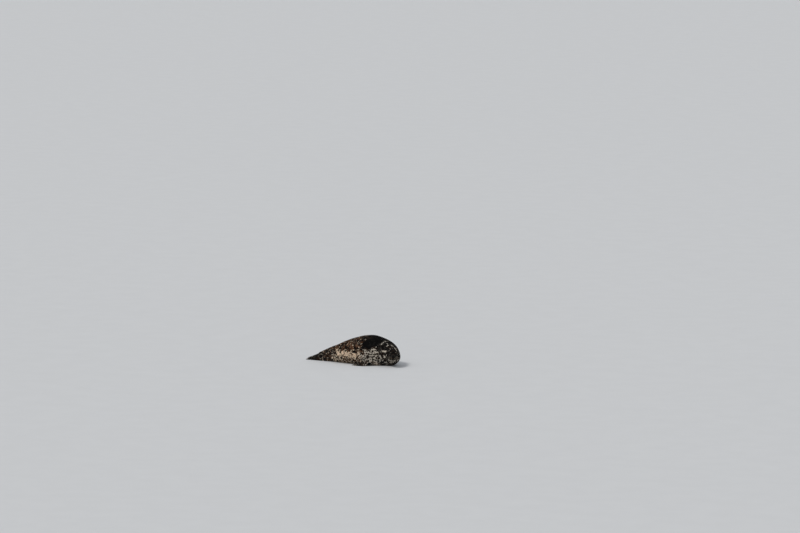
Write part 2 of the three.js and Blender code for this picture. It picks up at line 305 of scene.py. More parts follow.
def mesh_object(name, points, faces, smooth=True):
    faces = np.asarray(faces, np.int32)
    sides = faces.shape[1]
    mesh = bpy.data.meshes.new(name)
    mesh.vertices.add(len(points))
    mesh.vertices.foreach_set("co", (np.asarray(points) * MM).astype(np.float32).ravel())
    mesh.loops.add(faces.size)
    mesh.loops.foreach_set("vertex_index", faces.ravel())
    mesh.polygons.add(len(faces))
    mesh.polygons.foreach_set("loop_start", np.arange(0, faces.size, sides, dtype=np.int32))
    mesh.update(calc_edges=True)
    mesh.polygons.foreach_set("use_smooth", np.full(len(faces), smooth))
    obj = bpy.data.objects.new(name, mesh)
    bpy.context.scene.collection.objects.link(obj)
    return obj


def read_mesh(obj):
    """The points in millimetres and the triangles of an object, with its modifiers applied."""
    mesh = obj.evaluated_get(bpy.context.evaluated_depsgraph_get()).to_mesh()
    mesh.calc_loop_triangles()
    points = np.empty(len(mesh.vertices) * 3, np.float32)
    mesh.vertices.foreach_get("co", points)
    triangles = np.empty(len(mesh.loop_triangles) * 3, np.int32)
    mesh.loop_triangles.foreach_get("vertices", triangles)
    return points.reshape(-1, 3).astype(float) / MM, triangles.reshape(-1, 3)


def set_attribute(obj, name, values, kind="FLOAT_VECTOR"):
    field = {"FLOAT_VECTOR": "vector", "FLOAT_COLOR": "color", "FLOAT": "value"}[kind]
    data = obj.data.attributes.new(name, kind, "POINT").data
    data.foreach_set(field, np.asarray(values, np.float32).ravel())


def set_bake_map(obj, corners):
    """The map that the coat's material is baked to."""
    layer = obj.data.uv_layers.new(name="OFBake")
    layer.data.foreach_set("uv", np.asarray(corners, np.float32).ravel())


def tube_faces(rings, sides, start=0):
    """Triangles between rings of points, facing out where the rings turn from up to left."""
    i, k = np.meshgrid(np.arange(rings - 1), np.arange(sides), indexing="ij")
    a = start + i * sides + k
    b = start + i * sides + (k + 1) % sides
    quads = np.stack([a, b, a + sides, b, b + sides, a + sides], -1)
    return quads.reshape(-1, 3)


def fan(first, sides, hub, ahead=True):
    """Triangles from a ring of points to a hub, ahead of the ring or behind it."""
    k = np.arange(sides)
    near, far = first + k, first + (k + 1) % sides
    return np.stack([near, far, hub + 0 * k] if ahead else [far, near, hub + 0 * k], 1)


def capped_tube(rings, sides):
    """A closed tube: two points, which close its start and its end, follow its rings."""
    hub = rings * sides
    ends = fan(0, sides, hub, ahead=False), fan(hub - sides, sides, hub + 1)
    return np.vstack([tube_faces(rings, sides), *ends])


def vertex_normals(points, triangles):
    corners = points[triangles]
    across = np.cross(corners[:, 1] - corners[:, 0], corners[:, 2] - corners[:, 0])
    normals = np.zeros_like(points)
    for k in range(3):
        np.add.at(normals, triangles[:, k], across)
    return unit(normals)


def nearest_index(targets, queries):
    """Which of the targets is nearest to each query, and how far away it is."""
    tree = KDTree(len(targets))
    for i, p in enumerate(targets):
        tree.insert(p, i)
    tree.balance()
    found = [tree.find(q)[1:] for q in queries]
    return np.array([f[0] for f in found]), np.array([f[1] for f in found])


# ---- Skin: the body's closed mesh, fine on the head and coarser behind ----

HEAD_SIDES = 320
BODY_SIDES = 160
HEAD_END = 207
RING_SPACING = ((0, 0.8), (60, 0.9), (110, 1.25), (HEAD_END, 3.2))  # place along, then distance


def head_rings():
    """Rings that are evenly spaced over the surface: closest on the muzzle and widest at the neck."""
    rough_sides = 8
    s = np.append(0.02, np.geomspace(0.05, HEAD_END, 900))
    grid = np.meshgrid(s, all_round(rough_sides), indexing="ij")
    points = body_surface(*(v.ravel() for v in grid))[0].reshape(len(s), rough_sides, 3)
    steps = np.linalg.norm(np.diff(points, axis=0), axis=-1).mean(1)
    spacing = listed(RING_SPACING, s[1:])
    count = np.append(0, np.cumsum(steps / spacing))
    return np.interp(np.arange(0.6, count[-1]), count, s)


HEAD_RINGS = head_rings()
BODY_RINGS = np.concatenate([  # closer where the neck folds and at the tail
    np.arange(HEAD_END + 3, 345, 4.5),
    np.arange(347, 1280, 9.5),
    np.arange(1284, 1366, 5),
    BODY_LENGTH - np.geomspace(8, 0.25, 8),
])


def body_mesh():
    """Points, triangles, place on the surface (along, angle, left, height) and lie of the coat."""
    step = 0.2  # each way, to find the lie

    def rings(places, sides):
        s, angle = np.meshgrid(places, all_round(sides), indexing="ij")
        s, angle = s.ravel(), angle.ravel()
        points, left, height = body_surface(s, angle)
        ahead = body_surface(s + step, angle)[0]
        behind = body_surface(s - step, angle)[0]
        return points, np.stack([s, angle, left, height], 1), unit(ahead - behind)

    head, body = rings(HEAD_RINGS, HEAD_SIDES), rings(BODY_RINGS, BODY_SIDES)
    tips = np.array([0.0, BODY_LENGTH])
    tip_heights = section_at(tips)[:, 2]
    tip_points = place(tips, 0, tip_heights)
    tip_where = np.stack([tips, np.pi + 0 * tips, 0 * tips, tip_heights], 1)
    ends = tip_points, tip_where, 0 * tip_points
    points, where, lie = (np.vstack(parts) for parts in zip(head, body, ends))
    head_count = len(head[0])
    nose, tail = len(points) - 2, len(points) - 1
    faces = [tube_faces(len(HEAD_RINGS), HEAD_SIDES), tube_faces(len(BODY_RINGS), BODY_SIDES, head_count)]
    k = np.arange(BODY_SIDES)
    fine = head_count - HEAD_SIDES
    f0, f1, f2 = fine + 2 * k, fine + 2 * k + 1, fine + (2 * k + 2) % HEAD_SIDES
    c0, c1 = head_count + k, head_count + (k + 1) % BODY_SIDES
    faces += [np.stack(t, 1) for t in ((f0, f1, c0), (f1, c1, c0), (f1, f2, c1))]
    faces += [fan(0, HEAD_SIDES, nose, False), fan(nose - BODY_SIDES, BODY_SIDES, tail)]
    return points, np.vstack(faces), where, lie


# ---- Flippers ----

FLIPPER_SIDES = 64
FLIPPER_RINGS = 38
RINGS_CROWD = 1.25  # 1 would space the rings evenly; more brings them closer at the toes
TIP_FROM = 0.93  # the share of a flipper's length from which its end is rounded
TIP_CLOSES = 0.985  # 1 would bring the end to an edge
RIDGE_LEVEL = 0.35  # of the toes' wave, between ridges and hollows


def toe_wave(across):
    return np.cos(np.pi * (TOES * (across + 1) - 1))


def toe_reach(flipper, across):
    return flipper["slant"] * across + flipper["scallop"] * toe_wave(across)


def flipper_place(flipper, side, s, across, outward):
    section = curve_through(flipper["sections"])(s)
    _, left, height, breadth, thickness, lean = np.moveaxis(section, -1, 0)
    tilt = np.radians(lean)
    edge = across * breadth
    depth = outward * thickness
    out = left - edge * np.sin(tilt) + depth * np.cos(tilt)
    up = height + edge * np.cos(tilt) + depth * np.sin(tilt)
    x, y, up = np.broadcast_arrays(HUMP - s + SHIFT[0], side * out + SHIFT[1], up)
    return np.stack([x, y, np.maximum(up, 0)], -1)


def flipper_mesh(flipper, side):
    """Points, triangles, place (share of the length, angle, across, side) and lie of the coat."""
    start, end = flipper["sections"][0][0], flipper["sections"][-1][0]
    shares = 1 - (1 - np.linspace(0, 1, FLIPPER_RINGS)) ** RINGS_CROWD
    share, angle = np.meshgrid(shares, all_round(FLIPPER_SIDES), indexing="ij")
    across = np.cos(angle)
    toes = smoothstep(share, TOES_FROM, 1)
    ridge = flipper["ridge"] * (toe_wave(across) - RIDGE_LEVEL) * toes
    closing = np.sqrt(1 - TIP_CLOSES * np.clip((share - TIP_FROM) / (1 - TIP_FROM), 0, 1) ** 2)
    outward = np.sin(angle) * (1 + ridge) * closing
    points = flipper_place(flipper, side, start + (end - start) * share, across, outward)
    points[..., 0] -= toes * toe_reach(flipper, across)
    lie = unit(np.gradient(points, axis=0))
    where = np.stack([share, angle, across, side + 0 * share], -1)
    hub = FLIPPER_RINGS * FLIPPER_SIDES
    last = hub - FLIPPER_SIDES
    k = np.arange(FLIPPER_SIDES // 2)
    a, b = last + k, last + k + 1
    c, d = last + (FLIPPER_SIDES - k) % FLIPPER_SIDES, last + FLIPPER_SIDES - k - 1
    faces = np.vstack([
        tube_faces(FLIPPER_RINGS, FLIPPER_SIDES),
        fan(0, FLIPPER_SIDES, hub, False),
        np.stack([a, b, d], 1)[:-1],  # the two halves of the last ring, zipped together
        np.stack([a, d, c], 1)[1:],
    ])
    if side < 0:
        faces = faces[:, ::-1]
    root = points[0].mean(0), [0, 0, 0, side], [-1, 0, 0]
    flat = (values.reshape(-1, values.shape[-1]) for values in (points, where, lie))
    points, where, lie = (np.vstack(parts) for parts in zip(flat, root))
    return points, faces, where, lie


# ---- Skin: body and flippers joined, then the fine forms ----

BODY, FORE_LEFT, FORE_RIGHT, HIND_LEFT, HIND_RIGHT = range(5)
LIMBS = [(FORE, 1), (FORE, -1), (HIND, 1), (HIND, -1)]
SEAM_AWAY = 0.01  # points on the seams of the union are further than this from those of the parts
JOINT_REACH = 34
TAIL_JOINT_REACH = 14
TAIL_FROM = -480  # x, towards the tail, from which the joints are tighter
JOINT_CORE = 0.12  # share of the reach that is eased in full
JOINT_EASE = 0.7
JOINT_PASSES = 30


def joined_skin():
    """The union of body and flippers, with each point's part and place, and the points of the seams."""
    parts = [body_mesh()] + [flipper_mesh(flipper, side) for flipper, side in LIMBS]
    objects = [mesh_object(f"part_{i}", part[0], part[1]) for i, part in enumerate(parts)]
    for limb in objects[1:]:
        union = objects[0].modifiers.new(limb.name, "BOOLEAN")
        union.operation = "UNION"
        union.solver = "MANIFOLD"
        union.object = limb
    points, triangles = read_mesh(objects[0])
    for obj in objects:
        bpy.data.objects.remove(obj)
    sources = np.vstack([part[0] for part in parts])
    index, away = nearest_index(sources, points)
    kind = np.concatenate([np.full(len(part[0]), i) for i, part in enumerate(parts)])[index]
    where = np.vstack([part[2] for part in parts])[index]
    lie = np.vstack([part[3] for part in parts])[index]
    return points, triangles, kind, where, lie, away > SEAM_AWAY


def neighbour_mean(values, edges, count):
    total = [np.bincount(edges[:, 0], values[edges[:, 1], k], count) for k in range(values.shape[1])]
    return np.stack(total, 1) / np.bincount(edges[:, 0], minlength=count)[:, None]


def both_ways(triangles):
    """The triangles' sides as pairs of points, in both directions."""
    sides = np.vstack([triangles[:, [0, 1]], triangles[:, [1, 2]], triangles[:, [2, 0]]])
    return np.vstack([sides, sides[:, ::-1]])


def eased(values, edges, weight):
    """Values drawn towards those of their neighbours, as strongly as the weight says."""
    for _ in range(JOINT_PASSES):
        values = values + weight * (neighbour_mean(values, edges, len(values)) - values)
    return values


THIN_COAT = 1.0  # depth on the face and the flippers
DEEP_COAT = 3.0
DEEPENS = (60, 260)  # along the spine, where the face's coat gives way to the body's
PRESSED_COAT = 0.35  # share of the depth that is left on the floor


def coat_depth(kind, where, points):
    """How far the skin lies inside the solids: less on the face, the feet and where the body rests."""
    depth = THIN_COAT + (DEEP_COAT - THIN_COAT) * smoothstep(where[:, 0], *DEEPENS)
    depth[kind != BODY] = THIN_COAT
    return depth * (PRESSED_COAT + (1 - PRESSED_COAT) * smoothstep(points[:, 2], 2, 40))


NECK_FOLDS = [(172, 2.6), (206, 3.2), (244, 3.6), (286, 3.2), (330, 2.4)]  # distance from the nose, depth
FOLD_SLANT = 0.16
FOLD_WIDTH = 6.5
ROLL = (13, 8, 0.45)  # behind each fold: distance from it, width and share of its depth
BLUBBER = 0.55  # height of the trunk's unevenness


def blubber(where, kind):
    """Soft unevenness of the trunk, and the folds of the neck on the side it is bent to."""
    s, angle, left, height = where.T
    rise = np.sin(s / 61 + 2 * angle) + np.sin(s / 37 - 3 * angle + 1) + np.sin(s / 23 + 5 * angle + 2)
    rise = BLUBBER * rise * smoothstep(s, 180, 420) * (1 - smoothstep(s, 1150, 1300))
    inner = smoothstep(-left, 30, 90) * smoothstep(height, 20, 80) * (1 - smoothstep(height, 190, 250))
    for at, depth in NECK_FOLDS:
        away = s - (height - HEAD_HEIGHT) * FOLD_SLANT
        rise -= depth * inner * bell(away, at, FOLD_WIDTH)
        rise += ROLL[2] * depth * inner * bell(away, at + ROLL[0], ROLL[1])
    return np.where(kind == BODY, rise, 0)


MOUTH = [(7, 0, -22.5), (8, 9, -25.5), (13, 21, -27), (25, 35, -26)]
MOUTH += [(40, 45, -23), (54, 50, -19), (61, 53, -15)]
# Lines of the face, drawn on both sides: points, in head coordinates, then width and rise.
FACE_LINES = [
    ([(2, 2.6, -2), (3, 5.5, 3), (5, 9.5, 9), (7, 12, 14)], 1.7, -5.0),  # nostril
    ([(2, 6.5, -3), (4, 11, 2), (6, 15.5, 9), (9, 16, 15)], 2.4, 0.9),  # wing of the nostril
    ([(1, 0, -4), (3, 0, -12), (7, 0, -22)], 1.1, -1.5),  # cleft of the lip
    (MOUTH, 1.25, -3.6),
    ([(8, 9, -21), (13, 21, -22), (25, 35, -20), (38, 44, -16)], 2.4, 0.9),  # upper lip
    ([(9, 9, -30), (14, 20, -31), (26, 33, -29.5)], 2.4, 0.7),  # lower lip
    ([(64, 57, -4), (68, 58, -12), (71, 58, -20)], 2.6, -0.7),  # crease behind the mouth
    ([(12, 15, 20), (20, 20, 22), (32, 24, 26)], 2.4, -0.5),  # side of the bridge
]
CREASED = -1  # lines that are cut deeper than this are bare and shaded
FACE_END = 150
LOWEST_SKIN = 0.3  # height above the floor
EAR_AT = (131, 80, 10)
# Round forms of the face: distance from their middle, width and rise.
EAR_HOLE = (0, 2.6, -6)
EAR_EDGE = (5.5, 2, 0.9)
FOLLICLE = (0, 1.3, 0.3)
FOLLICLE_EDGE = (2.4, 0.9, -0.2)
PAD_GROOVE = (1.0, 0.07, -0.9)  # measured by pad_reach()
LID_FOLD = (1.36, 0.09, -0.7)  # measured by eye_reach()


def resampled(path, spacing):
    """Points at even steps along a path."""
    path = np.array(path, float)
    reach = np.append(0, np.cumsum(np.linalg.norm(np.diff(path, axis=0), axis=1)))
    places = np.arange(0, reach[-1] + spacing, spacing)
    return np.stack([np.interp(places, reach, path[:, k]) for k in range(3)], 1)


def on_surface(tree, path):
    """A path drawn along the surface, in model coordinates."""
    return np.array([tree.find_nearest(p)[0] for p in head_place(resampled(path, spacing=1.0)).tolist()])


def line_distance(points, line):
    nearest = np.full(len(points), np.inf)
    for p in line:
        nearest = np.minimum(nearest, ((points - p) ** 2).sum(1))
    return np.sqrt(nearest)


def pad_reach(points):
    """How far a point is from the middle of the nose pad: 1 on its edge."""
    return np.linalg.norm((to_head(points) - NOSE_PAD_AT) / NOSE_PAD_HALF, axis=-1)


# Whiskers: root in head coordinates, length and how steeply each rises, in rows on the pads and brows.
WHISKER_ROOTS = [
    (
        (
            8 + 6.0 * column + 2.5 * (row % 2),
            14 + 5.4 * column - 0.6 * row,
            2 - 5.0 * row + math.sin(3 * column + row),
        ),
        28 + 6.5 * column,
        0.25 - 0.16 * row,
    )
    for row in range(4)
    for column in range(5)
]
BROW_ROOTS = [((71 + 3.5 * i, 25 + 4.0 * i, 50 - 0.7 * i), 20 + 4 * (i % 3), 0.55) for i in range(4)]


def face_relief(points, triangles, face):
    """How far each point of the face moves outwards, how deep in a crease it is, and the bare surface."""
    tree = BVHTree.FromPolygons(points.tolist(), triangles[face[triangles].all(1)].tolist())
    near = points[face]
    rise, crease = np.zeros(len(near)), np.zeros(len(near))
    for side in (1, -1):
        mirror = np.array([1, side, 1])
        for path, width, full in FACE_LINES:
            mark = bell(line_distance(near, on_surface(tree, np.array(path) * mirror)), 0, width)
            middle = 0.5 if all(left == 0 for _, left, _ in path) else 1  # drawn twice, once a side
            rise += middle * full * mark
            if full < CREASED:
                crease = np.maximum(crease, mark)
        away = line_distance(near, on_surface(tree, [np.array(EAR_AT) * mirror]))
        rise += ripple(away, *EAR_HOLE) + ripple(away, *EAR_EDGE)
        crease = np.maximum(crease, bell(away, *EAR_HOLE[:2]))
        for root, _, _ in WHISKER_ROOTS + BROW_ROOTS:
            away = line_distance(near, on_surface(tree, [np.array(root) * mirror]))
            rise += ripple(away, *FOLLICLE) + ripple(away, *FOLLICLE_EDGE)
    rise += ripple(pad_reach(near), *PAD_GROOVE) * smoothstep(to_head(near)[:, 2], -4, 6)
    return rise, crease, tree


# ---- Eyelids ----

EYE_GAZE = unit(np.array([-0.66, 0.70, 0.27]))
EYE_FORWARD = np.array([-1.0, 0, -0.3])
EYE_FORWARD = unit(EYE_FORWARD - (EYE_FORWARD @ EYE_GAZE) * EYE_GAZE)
EYE_UP = np.cross(EYE_FORWARD, EYE_GAZE)
EYE_UP = EYE_UP * np.sign(EYE_UP[2])
LID_LENGTH = 13.5  # half the opening's length
LID_HEIGHT = 10.5
LID_RISE = 1.4  # how far the lids stand over the eyeball
LID_TUCK = 1.8  # how far the skin passes behind the eyeball's surface inside the opening
LID_EDGE = (0.9, 1.03)  # reaches, where the tucked skin turns into the lid
LID_BLEND = (1.1, 1.9)  # reaches, where the lid turns into the face
LID_DEPTH = (3, 20)  # distances from the eyeball over which it lets go of the skin
FREE = 9.0  # the reach given to points that are far from an eye


def eye_reach(local):
    """How far a place is from the middle of the eye's opening: 1 on the edge of the lids."""
    away = local - EYE_AT
    ray = unit(away)
    turn = np.arctan2(ray @ EYE_UP, ray @ EYE_FORWARD)
    edge = 1 / np.hypot(np.cos(turn) / LID_LENGTH, np.sin(turn) / LID_HEIGHT)
    reach = np.arccos(np.clip(ray @ EYE_GAZE, -1, 1)) / np.arcsin(edge / EYE_RADIUS)
    return reach, np.linalg.norm(away, axis=-1), ray


def lids(points):
    """The skin is drawn to the eyeball, with an opening in front of it."""
    local = to_head(points)
    side = np.where(local[:, 1] < 0, -1, 1)
    local[:, 1] *= side
    reach, distance, ray = eye_reach(local)
    past = distance - EYE_RADIUS
    edge = smoothstep(reach, *LID_EDGE)
    least = EYE_RADIUS + LID_RISE * edge - LID_TUCK * (1 - edge)
    outer = 1 - (1 - smoothstep(reach, *LID_BLEND)) * (1 - smoothstep(past, *LID_DEPTH))
    wanted = least * (1 - outer) + distance * outer
    wanted = np.maximum(wanted, least) + ripple(reach, *LID_FOLD)
    moved = EYE_AT + ray * wanted[:, None]
    moved[:, 1] *= side
    moved = moved @ HEAD_AXES + NOSE_TIP
    near = (outer < 1) | (distance < least)
    reach = reach + 3 * smoothstep(past, 4, 28)
    return np.where(near[:, None], moved, points), np.minimum(reach, FREE)


RIM_STEPS = 96
RIM_SIDES = 10
RIM_RADIUS = 1.2
RIM_RISE = 0.7  # of its middle over the eyeball


def outward_faces(points, faces):
    """The faces of a closed mesh, turned so that they enclose a positive volume."""
    a, b, c = (points[faces[:, k]] - points.mean(0) for k in range(3))
    return faces if (a * np.cross(b, c)).sum() > 0 else faces[:, ::-1]


def lid_rims():
    """The bare edges of the lids, as closed rolls round each opening."""
    turn = all_round(RIM_STEPS)[:, None]
    across = all_round(RIM_SIDES)[None, :, None]
    ray = (LID_LENGTH * np.cos(turn) * EYE_FORWARD + LID_HEIGHT * np.sin(turn) * EYE_UP) / EYE_RADIUS
    ray += np.sqrt(1 - dot(ray, ray)) * EYE_GAZE
    outwards = unit(np.cos(turn) / LID_LENGTH * EYE_FORWARD + np.sin(turn) / LID_HEIGHT * EYE_UP)
    middle = (EYE_AT + ray * (EYE_RADIUS + RIM_RISE))[:, None]
    rings = middle + RIM_RADIUS * (np.cos(across) * ray[:, None] + np.sin(across) * outwards[:, None])
    faces = tube_faces(RIM_STEPS + 1, RIM_SIDES) % (RIM_STEPS * RIM_SIDES)
    rims = [(rings.reshape(-1, 3) * [1, side, 1]) @ HEAD_AXES + NOSE_TIP for side in (1, -1)]
    return [(points, outward_faces(points, faces)) for points in rims]


def finished_skin():
    """The skin's points and what is known of each, and the face as it was before its lines were cut."""
    base, triangles, kind, where, lie, seam = joined_skin()
    edges = both_ways(triangles)
    reach = np.where(base[:, 0] < TAIL_FROM, TAIL_JOINT_REACH, JOINT_REACH)
    away = nearest_index(base[seam], base)[1]
    weight = JOINT_EASE * (1 - smoothstep(away / reach, JOINT_CORE, 1))[:, None]
    points = eased(base, edges, weight)
    sunk = (blubber(where, kind) - coat_depth(kind, where, points))[:, None]
    points = points + vertex_normals(points, triangles) * eased(sunk, edges, weight)
    points = eased(points, edges, weight * smoothstep(weight, 0.2, 0.6))
    face = (kind == BODY) & (where[:, 0] < FACE_END)
    rise, crease = np.zeros(len(points)), np.zeros(len(points))
    rise[face], crease[face], tree = face_relief(points, triangles, face)
    points = points + vertex_normals(points, triangles) * rise[:, None]
    eye = np.full(len(points), FREE)
    points[face], eye[face] = lids(points[face])
    points[:, 2] = np.maximum(points[:, 2], LOWEST_SKIN)
    return points, triangles, kind, where, lie, crease, eye, tree


POINTS, TRIANGLES, KIND, WHERE, LIE, CREASE, EYE_AWAY, FACE_TREE = finished_skin()

# ---- Markings, as numbers that the coat's material reads ----

# Zones of the coat, each laid over those before it: from and to along the spine, its softness, from and
# to in height, its softness, then the share of dark hair, its warmth and the strength of pale rings.
ZONES = [
    (-9, 1600, 1, -50, 500, 1, 0.84, 0.35, 0.6),
    (340, 1300, 90, -60, 50, 30, 0.50, 0.5, 0.5),  # belly
    (320, 650, 70, 40, 215, 50, 0.55, 0.15, 0.5),  # front of the flank
    (630, 1130, 110, 158, 320, 40, 1.02, 1.0, 0.3),  # rusty brown above the pale band
    (650, 1080, 110, 136, 188, 44, 0.78, 1.0, 0.3),  # golden edge of the band
    (630, 1060, 80, 88, 155, 30, 0.38, 1.0, 0.2),  # pale band
    (620, 1110, 80, -20, 82, 24, 0.74, 0.8, 0.4),  # below the band
    (1110, 1600, 100, -50, 400, 1, 0.97, 0.5, 0.3),  # hips
    (380, 620, 80, 222, 500, 44, 1.4, 0.0, 0.1),  # saddle
    (190, 400, 80, 200, 500, 50, 1.3, 0.05, 0.6),  # top of the neck
    (180, 340, 60, 30, 205, 40, 0.82, 0.1, 0.7),  # sides of the neck
    (-10, 200, 50, -50, 500, 1, 1.05, 0.1, 0.4),  # head
    (-10, 170, 40, -50, 108, 14, 0.66, 0.2, 0.5),  # chin and throat
    (-10, 150, 40, 122, 500, 22, 1.4, 0.1, 0.0),  # mask
]
CROWN_NEAR = [(236, -82, 108), (247, -60, 122), (253, -39, 127), (243, -7, 115)]
CROWN_FAR = [(226, 16, 99), (174, 33, 78), (131, 46, 62), (97, 52, 45)]
# Pale lines and patches: points along, to the side and above the head's level, then width and darkness.
PALE_LINES = [
    (CROWN_NEAR + CROWN_FAR, 7, 0.33),  # arc over the crown
    ([(262, -148, 135), (285, -120, 152), (304, -96, 166), (312, -66, 166)], 8.5, 0.32),  # collar
    ([(300, 70, 150), (270, 110, 120), (240, 128, 80)], 9, 0.35),  # collar, far side
    ([(194, -90, 47), (207, -106, 50), (217, -118, 51)], 13, 0.22),
    ([(131, -82, 14), (150, -90, 2)], 11, 0.25),
    ([(200, -118, 1), (190, -112, -20)], 13, 0.25),
    ([(236, -169, -10), (216, -150, -30)], 16, 0.22),
    ([(150, 88, 20), (180, 98, 5)], 13, 0.28),
    ([(97, 52, 45), (88, 66, 30)], 9, 0.3),
    ([(5, -17, -34), (8, 0, -36), (14, 17, -36)], 6, 0.35),  # lower lip
    ([(40, 26, -50), (79, 19, -56)], 12, 0.2),
    ([(60, -36, -48), (90, -30, -62)], 12, 0.3),
]
MUZZLE_RING = [(9, 0, -17), (9, 14, -16), (12, 24, -10), (13, 26, 2), (13, 20, 16), (18, 10, 30), (20, 0, 32)]
# Greyish places within the dark mask, drawn on both sides: points, width and strength.
GREY_LINES = [
    (MUZZLE_RING, 7, 0.55),
    ([(26, 38, -10), (44, 47, -8)], 9, 0.45),
    ([(76, 26, 50), (84, 34, 50)], 6, 0.5),
]
EYE_RING = (1.7, 0.4, 0.32)  # reach from the eye, width and strength
PALE_REACH = 3.0  # widths beyond which a pale line has no effect
PALE_END = 420  # along the spine; none of the pale lines reach further
RIDGE_TONE = np.array([0.98, 0.85, 0.4])  # along the middle of the back, behind the saddle
RIDGE_FROM = (540, 680)  # along the spine
RIDGE_TURN = (0.35, 0.95)  # radians from the middle of the back
RIM_TONE = (1, 0.1, 0, 0)  # of the lids' rims
FORE_TONE = ((0.76, 0.2, 0.5), (0.2, 0, 0))  # at the root, and the change towards the toes
HIND_TONE = ((0.98, 0.5, 0.5), (0, -0.4, 0))


def band(x, low, high, soft):
    near, far = (smoothstep(x, edge - soft / 2, edge + soft / 2) for edge in (low, high))
    return near * (1 - far)


def wander(points):
    """Uneven shifts of the zones' edges, along and in height."""
    x, y, z = points.T
    along = np.sin(x / 27 + 1.7 * np.sin(z / 33)) + np.sin(y / 19 - z / 24 + 1)
    along += 0.8 * np.sin(x / 11 + z / 13)
    up = np.sin(x / 37 + 0.4) + np.sin(x / 17 + 1.3 * np.sin(y / 29) + 2) + 0.8 * np.sin(y / 12 - x / 15)
    return 17 * along, 10 * up


def body_tone(s, angle, points):
    """Share of dark hair, warmth and strength of the rings at places on the body."""
    height = points[:, 2]
    along, up = wander(points)
    loose = smoothstep(s, *DEEPENS)
    moved_s, moved_z = s + along * loose, height + up * loose
    tone = np.zeros((len(s), 3))
    for s0, s1, soft_s, z0, z1, soft_z, *value in ZONES:
        share = (band(moved_s, s0, s1, soft_s) * band(moved_z, z0, z1, soft_z))[:, None]
        tone = tone * (1 - share) + share * np.array(value)
    turned = np.abs((angle + np.pi) % (2 * np.pi) - np.pi)
    ridge = (1 - smoothstep(turned + 0.004 * up, *RIDGE_TURN)) * smoothstep(moved_s, *RIDGE_FROM)
    tone = tone * (1 - ridge[:, None]) + ridge[:, None] * RIDGE_TONE
    front = s < PALE_END
    near = tone[front, 0]
    local = to_head(points[front])
    for path, width, dark in PALE_LINES:
        away = line_distance(local, resampled(path, spacing=4.0))
        share = bell(away, 0, width) * (away / width < PALE_REACH)
        near = near * (1 - share) + share * dark
    tone[front, 0] = near
    return tone


def greyness(kind, where, points, eye):
    """How much of the dark mask's colour gives way to grey."""
    grey = ripple(eye, *EYE_RING)
    front = (kind == BODY) & (where[:, 0] < FACE_END)
    local = to_head(points[front])
    local[:, 1] = np.abs(local[:, 1])
    for path, width, strength in GREY_LINES:
        away = line_distance(local, resampled(path, spacing=3.0))
        grey[front] = np.maximum(grey[front], ripple(away, 0, width, strength))
    return grey


def limb_tone(kind, share):
    tip = smoothstep(share, 0.25, 0.7)[:, None]
    fore, hind = (np.array(root) + np.array(change) * tip for root, change in (FORE_TONE, HIND_TONE))
    return np.where((kind >= HIND_LEFT)[:, None], hind, fore)


def tone_at(kind, where, points, eye):
    """What the coat's material reads: the three of body_tone() and the greyness of the mask."""
    body, limb = body_tone(where[:, 0], where[:, 1], points), limb_tone(kind, where[:, 0])
    grey = greyness(kind, where, points, eye)[:, None]
    return np.hstack([np.where((kind == BODY)[:, None], body, limb), grey])


CREASE_BARE = 0.9
LID_BARE = (1.02, 1.16)  # reaches, where bare skin ends and the coat begins
PAD_BARE = (0.92, 1.04)


def bareness():
    """Bare, hairless parts: the nose pad, the lines of the mouth and nostrils, the ears and the lids."""
    bare = np.maximum(CREASE_BARE * CREASE, 1 - smoothstep(EYE_AWAY, *LID_BARE))
    pad = np.where(KIND == BODY, pad_reach(POINTS), FREE)
    return np.maximum(bare, 1 - smoothstep(pad, *PAD_BARE))


# ---- The unwrap: the body's own length and girth, and an island for each flipper ----

BODY_MAP = ((0, 0.01), (HEAD_END, 0.36), (BODY_LENGTH, 0.82))  # place along, then up the map
BODY_FROM = 0.004
BODY_ACROSS = 0.988  # the body's width on the map
ISLANDS_FROM = 0.844  # up the map
ISLAND_MARGIN = 0.006
ISLAND_SIZE = (0.234, 0.15)  # girth and length of a flipper
MAP_EDGE = 0.001
PATCH = 0.003  # size of the triangles that would have no width


def unwrap(kind, where):
    turn = where[:, 1] / (2 * np.pi)
    body_u = BODY_FROM + BODY_ACROSS * ((turn + 0.5) % 1)
    limb_u = (kind - 1) / len(LIMBS) + ISLAND_MARGIN + ISLAND_SIZE[0] * (turn % 1)
    body_v = listed(BODY_MAP, where[:, 0])
    limb_v = ISLANDS_FROM + ISLAND_SIZE[1] * where[:, 0]
    return np.where(kind == BODY, [body_u, body_v], [limb_u, limb_v]).T


def corner_map(triangles, kind, where):
    """The unwrap at each corner, with nothing stretched over a seam and no triangle without width."""
    flat = unwrap(kind, where)[triangles]
    owner = kind[triangles]
    home = owner[:, :1]
    width = np.where(home == BODY, BODY_ACROSS, ISLAND_SIZE[0])
    u = flat[..., 0]
    u += width * (u.max(1, keepdims=True) - u > width / 2)
    stray = (owner != home)[..., None]
    flat = np.where(stray, flat[:, :1], flat)
    side_a, side_b = flat[:, 1] - flat[:, 0], flat[:, 2] - flat[:, 0]
    area = np.abs(side_a[:, 0] * side_b[:, 1] - side_a[:, 1] * side_b[:, 0])
    thin = (area < 1e-9)[:, None, None]
    patch = flat[:, :1] + np.array([[0, 0], [0.3, 0], [0, 0.3]]) * PATCH
    return np.clip(np.where(thin, patch, flat), MAP_EDGE, 1 - MAP_EDGE)


CREASE_SHADE = 0.75
RIM_SHADE = 0.3
RIM_TURN = 0.9  # the rims' place round the head on the unwrap, in radians from its top
GRAIN_STRETCH = 0.14  # width of the coat's streaks as a share of their length
GIRTHS = ((0, 20), (60, 55), (250, 130), (600, 200), (1100, 110), (BODY_LENGTH, 20))  # place along, radius
LIMB_LENGTH = 300
LIMB_APART = 40.0  # between the streaks of one limb and of the next


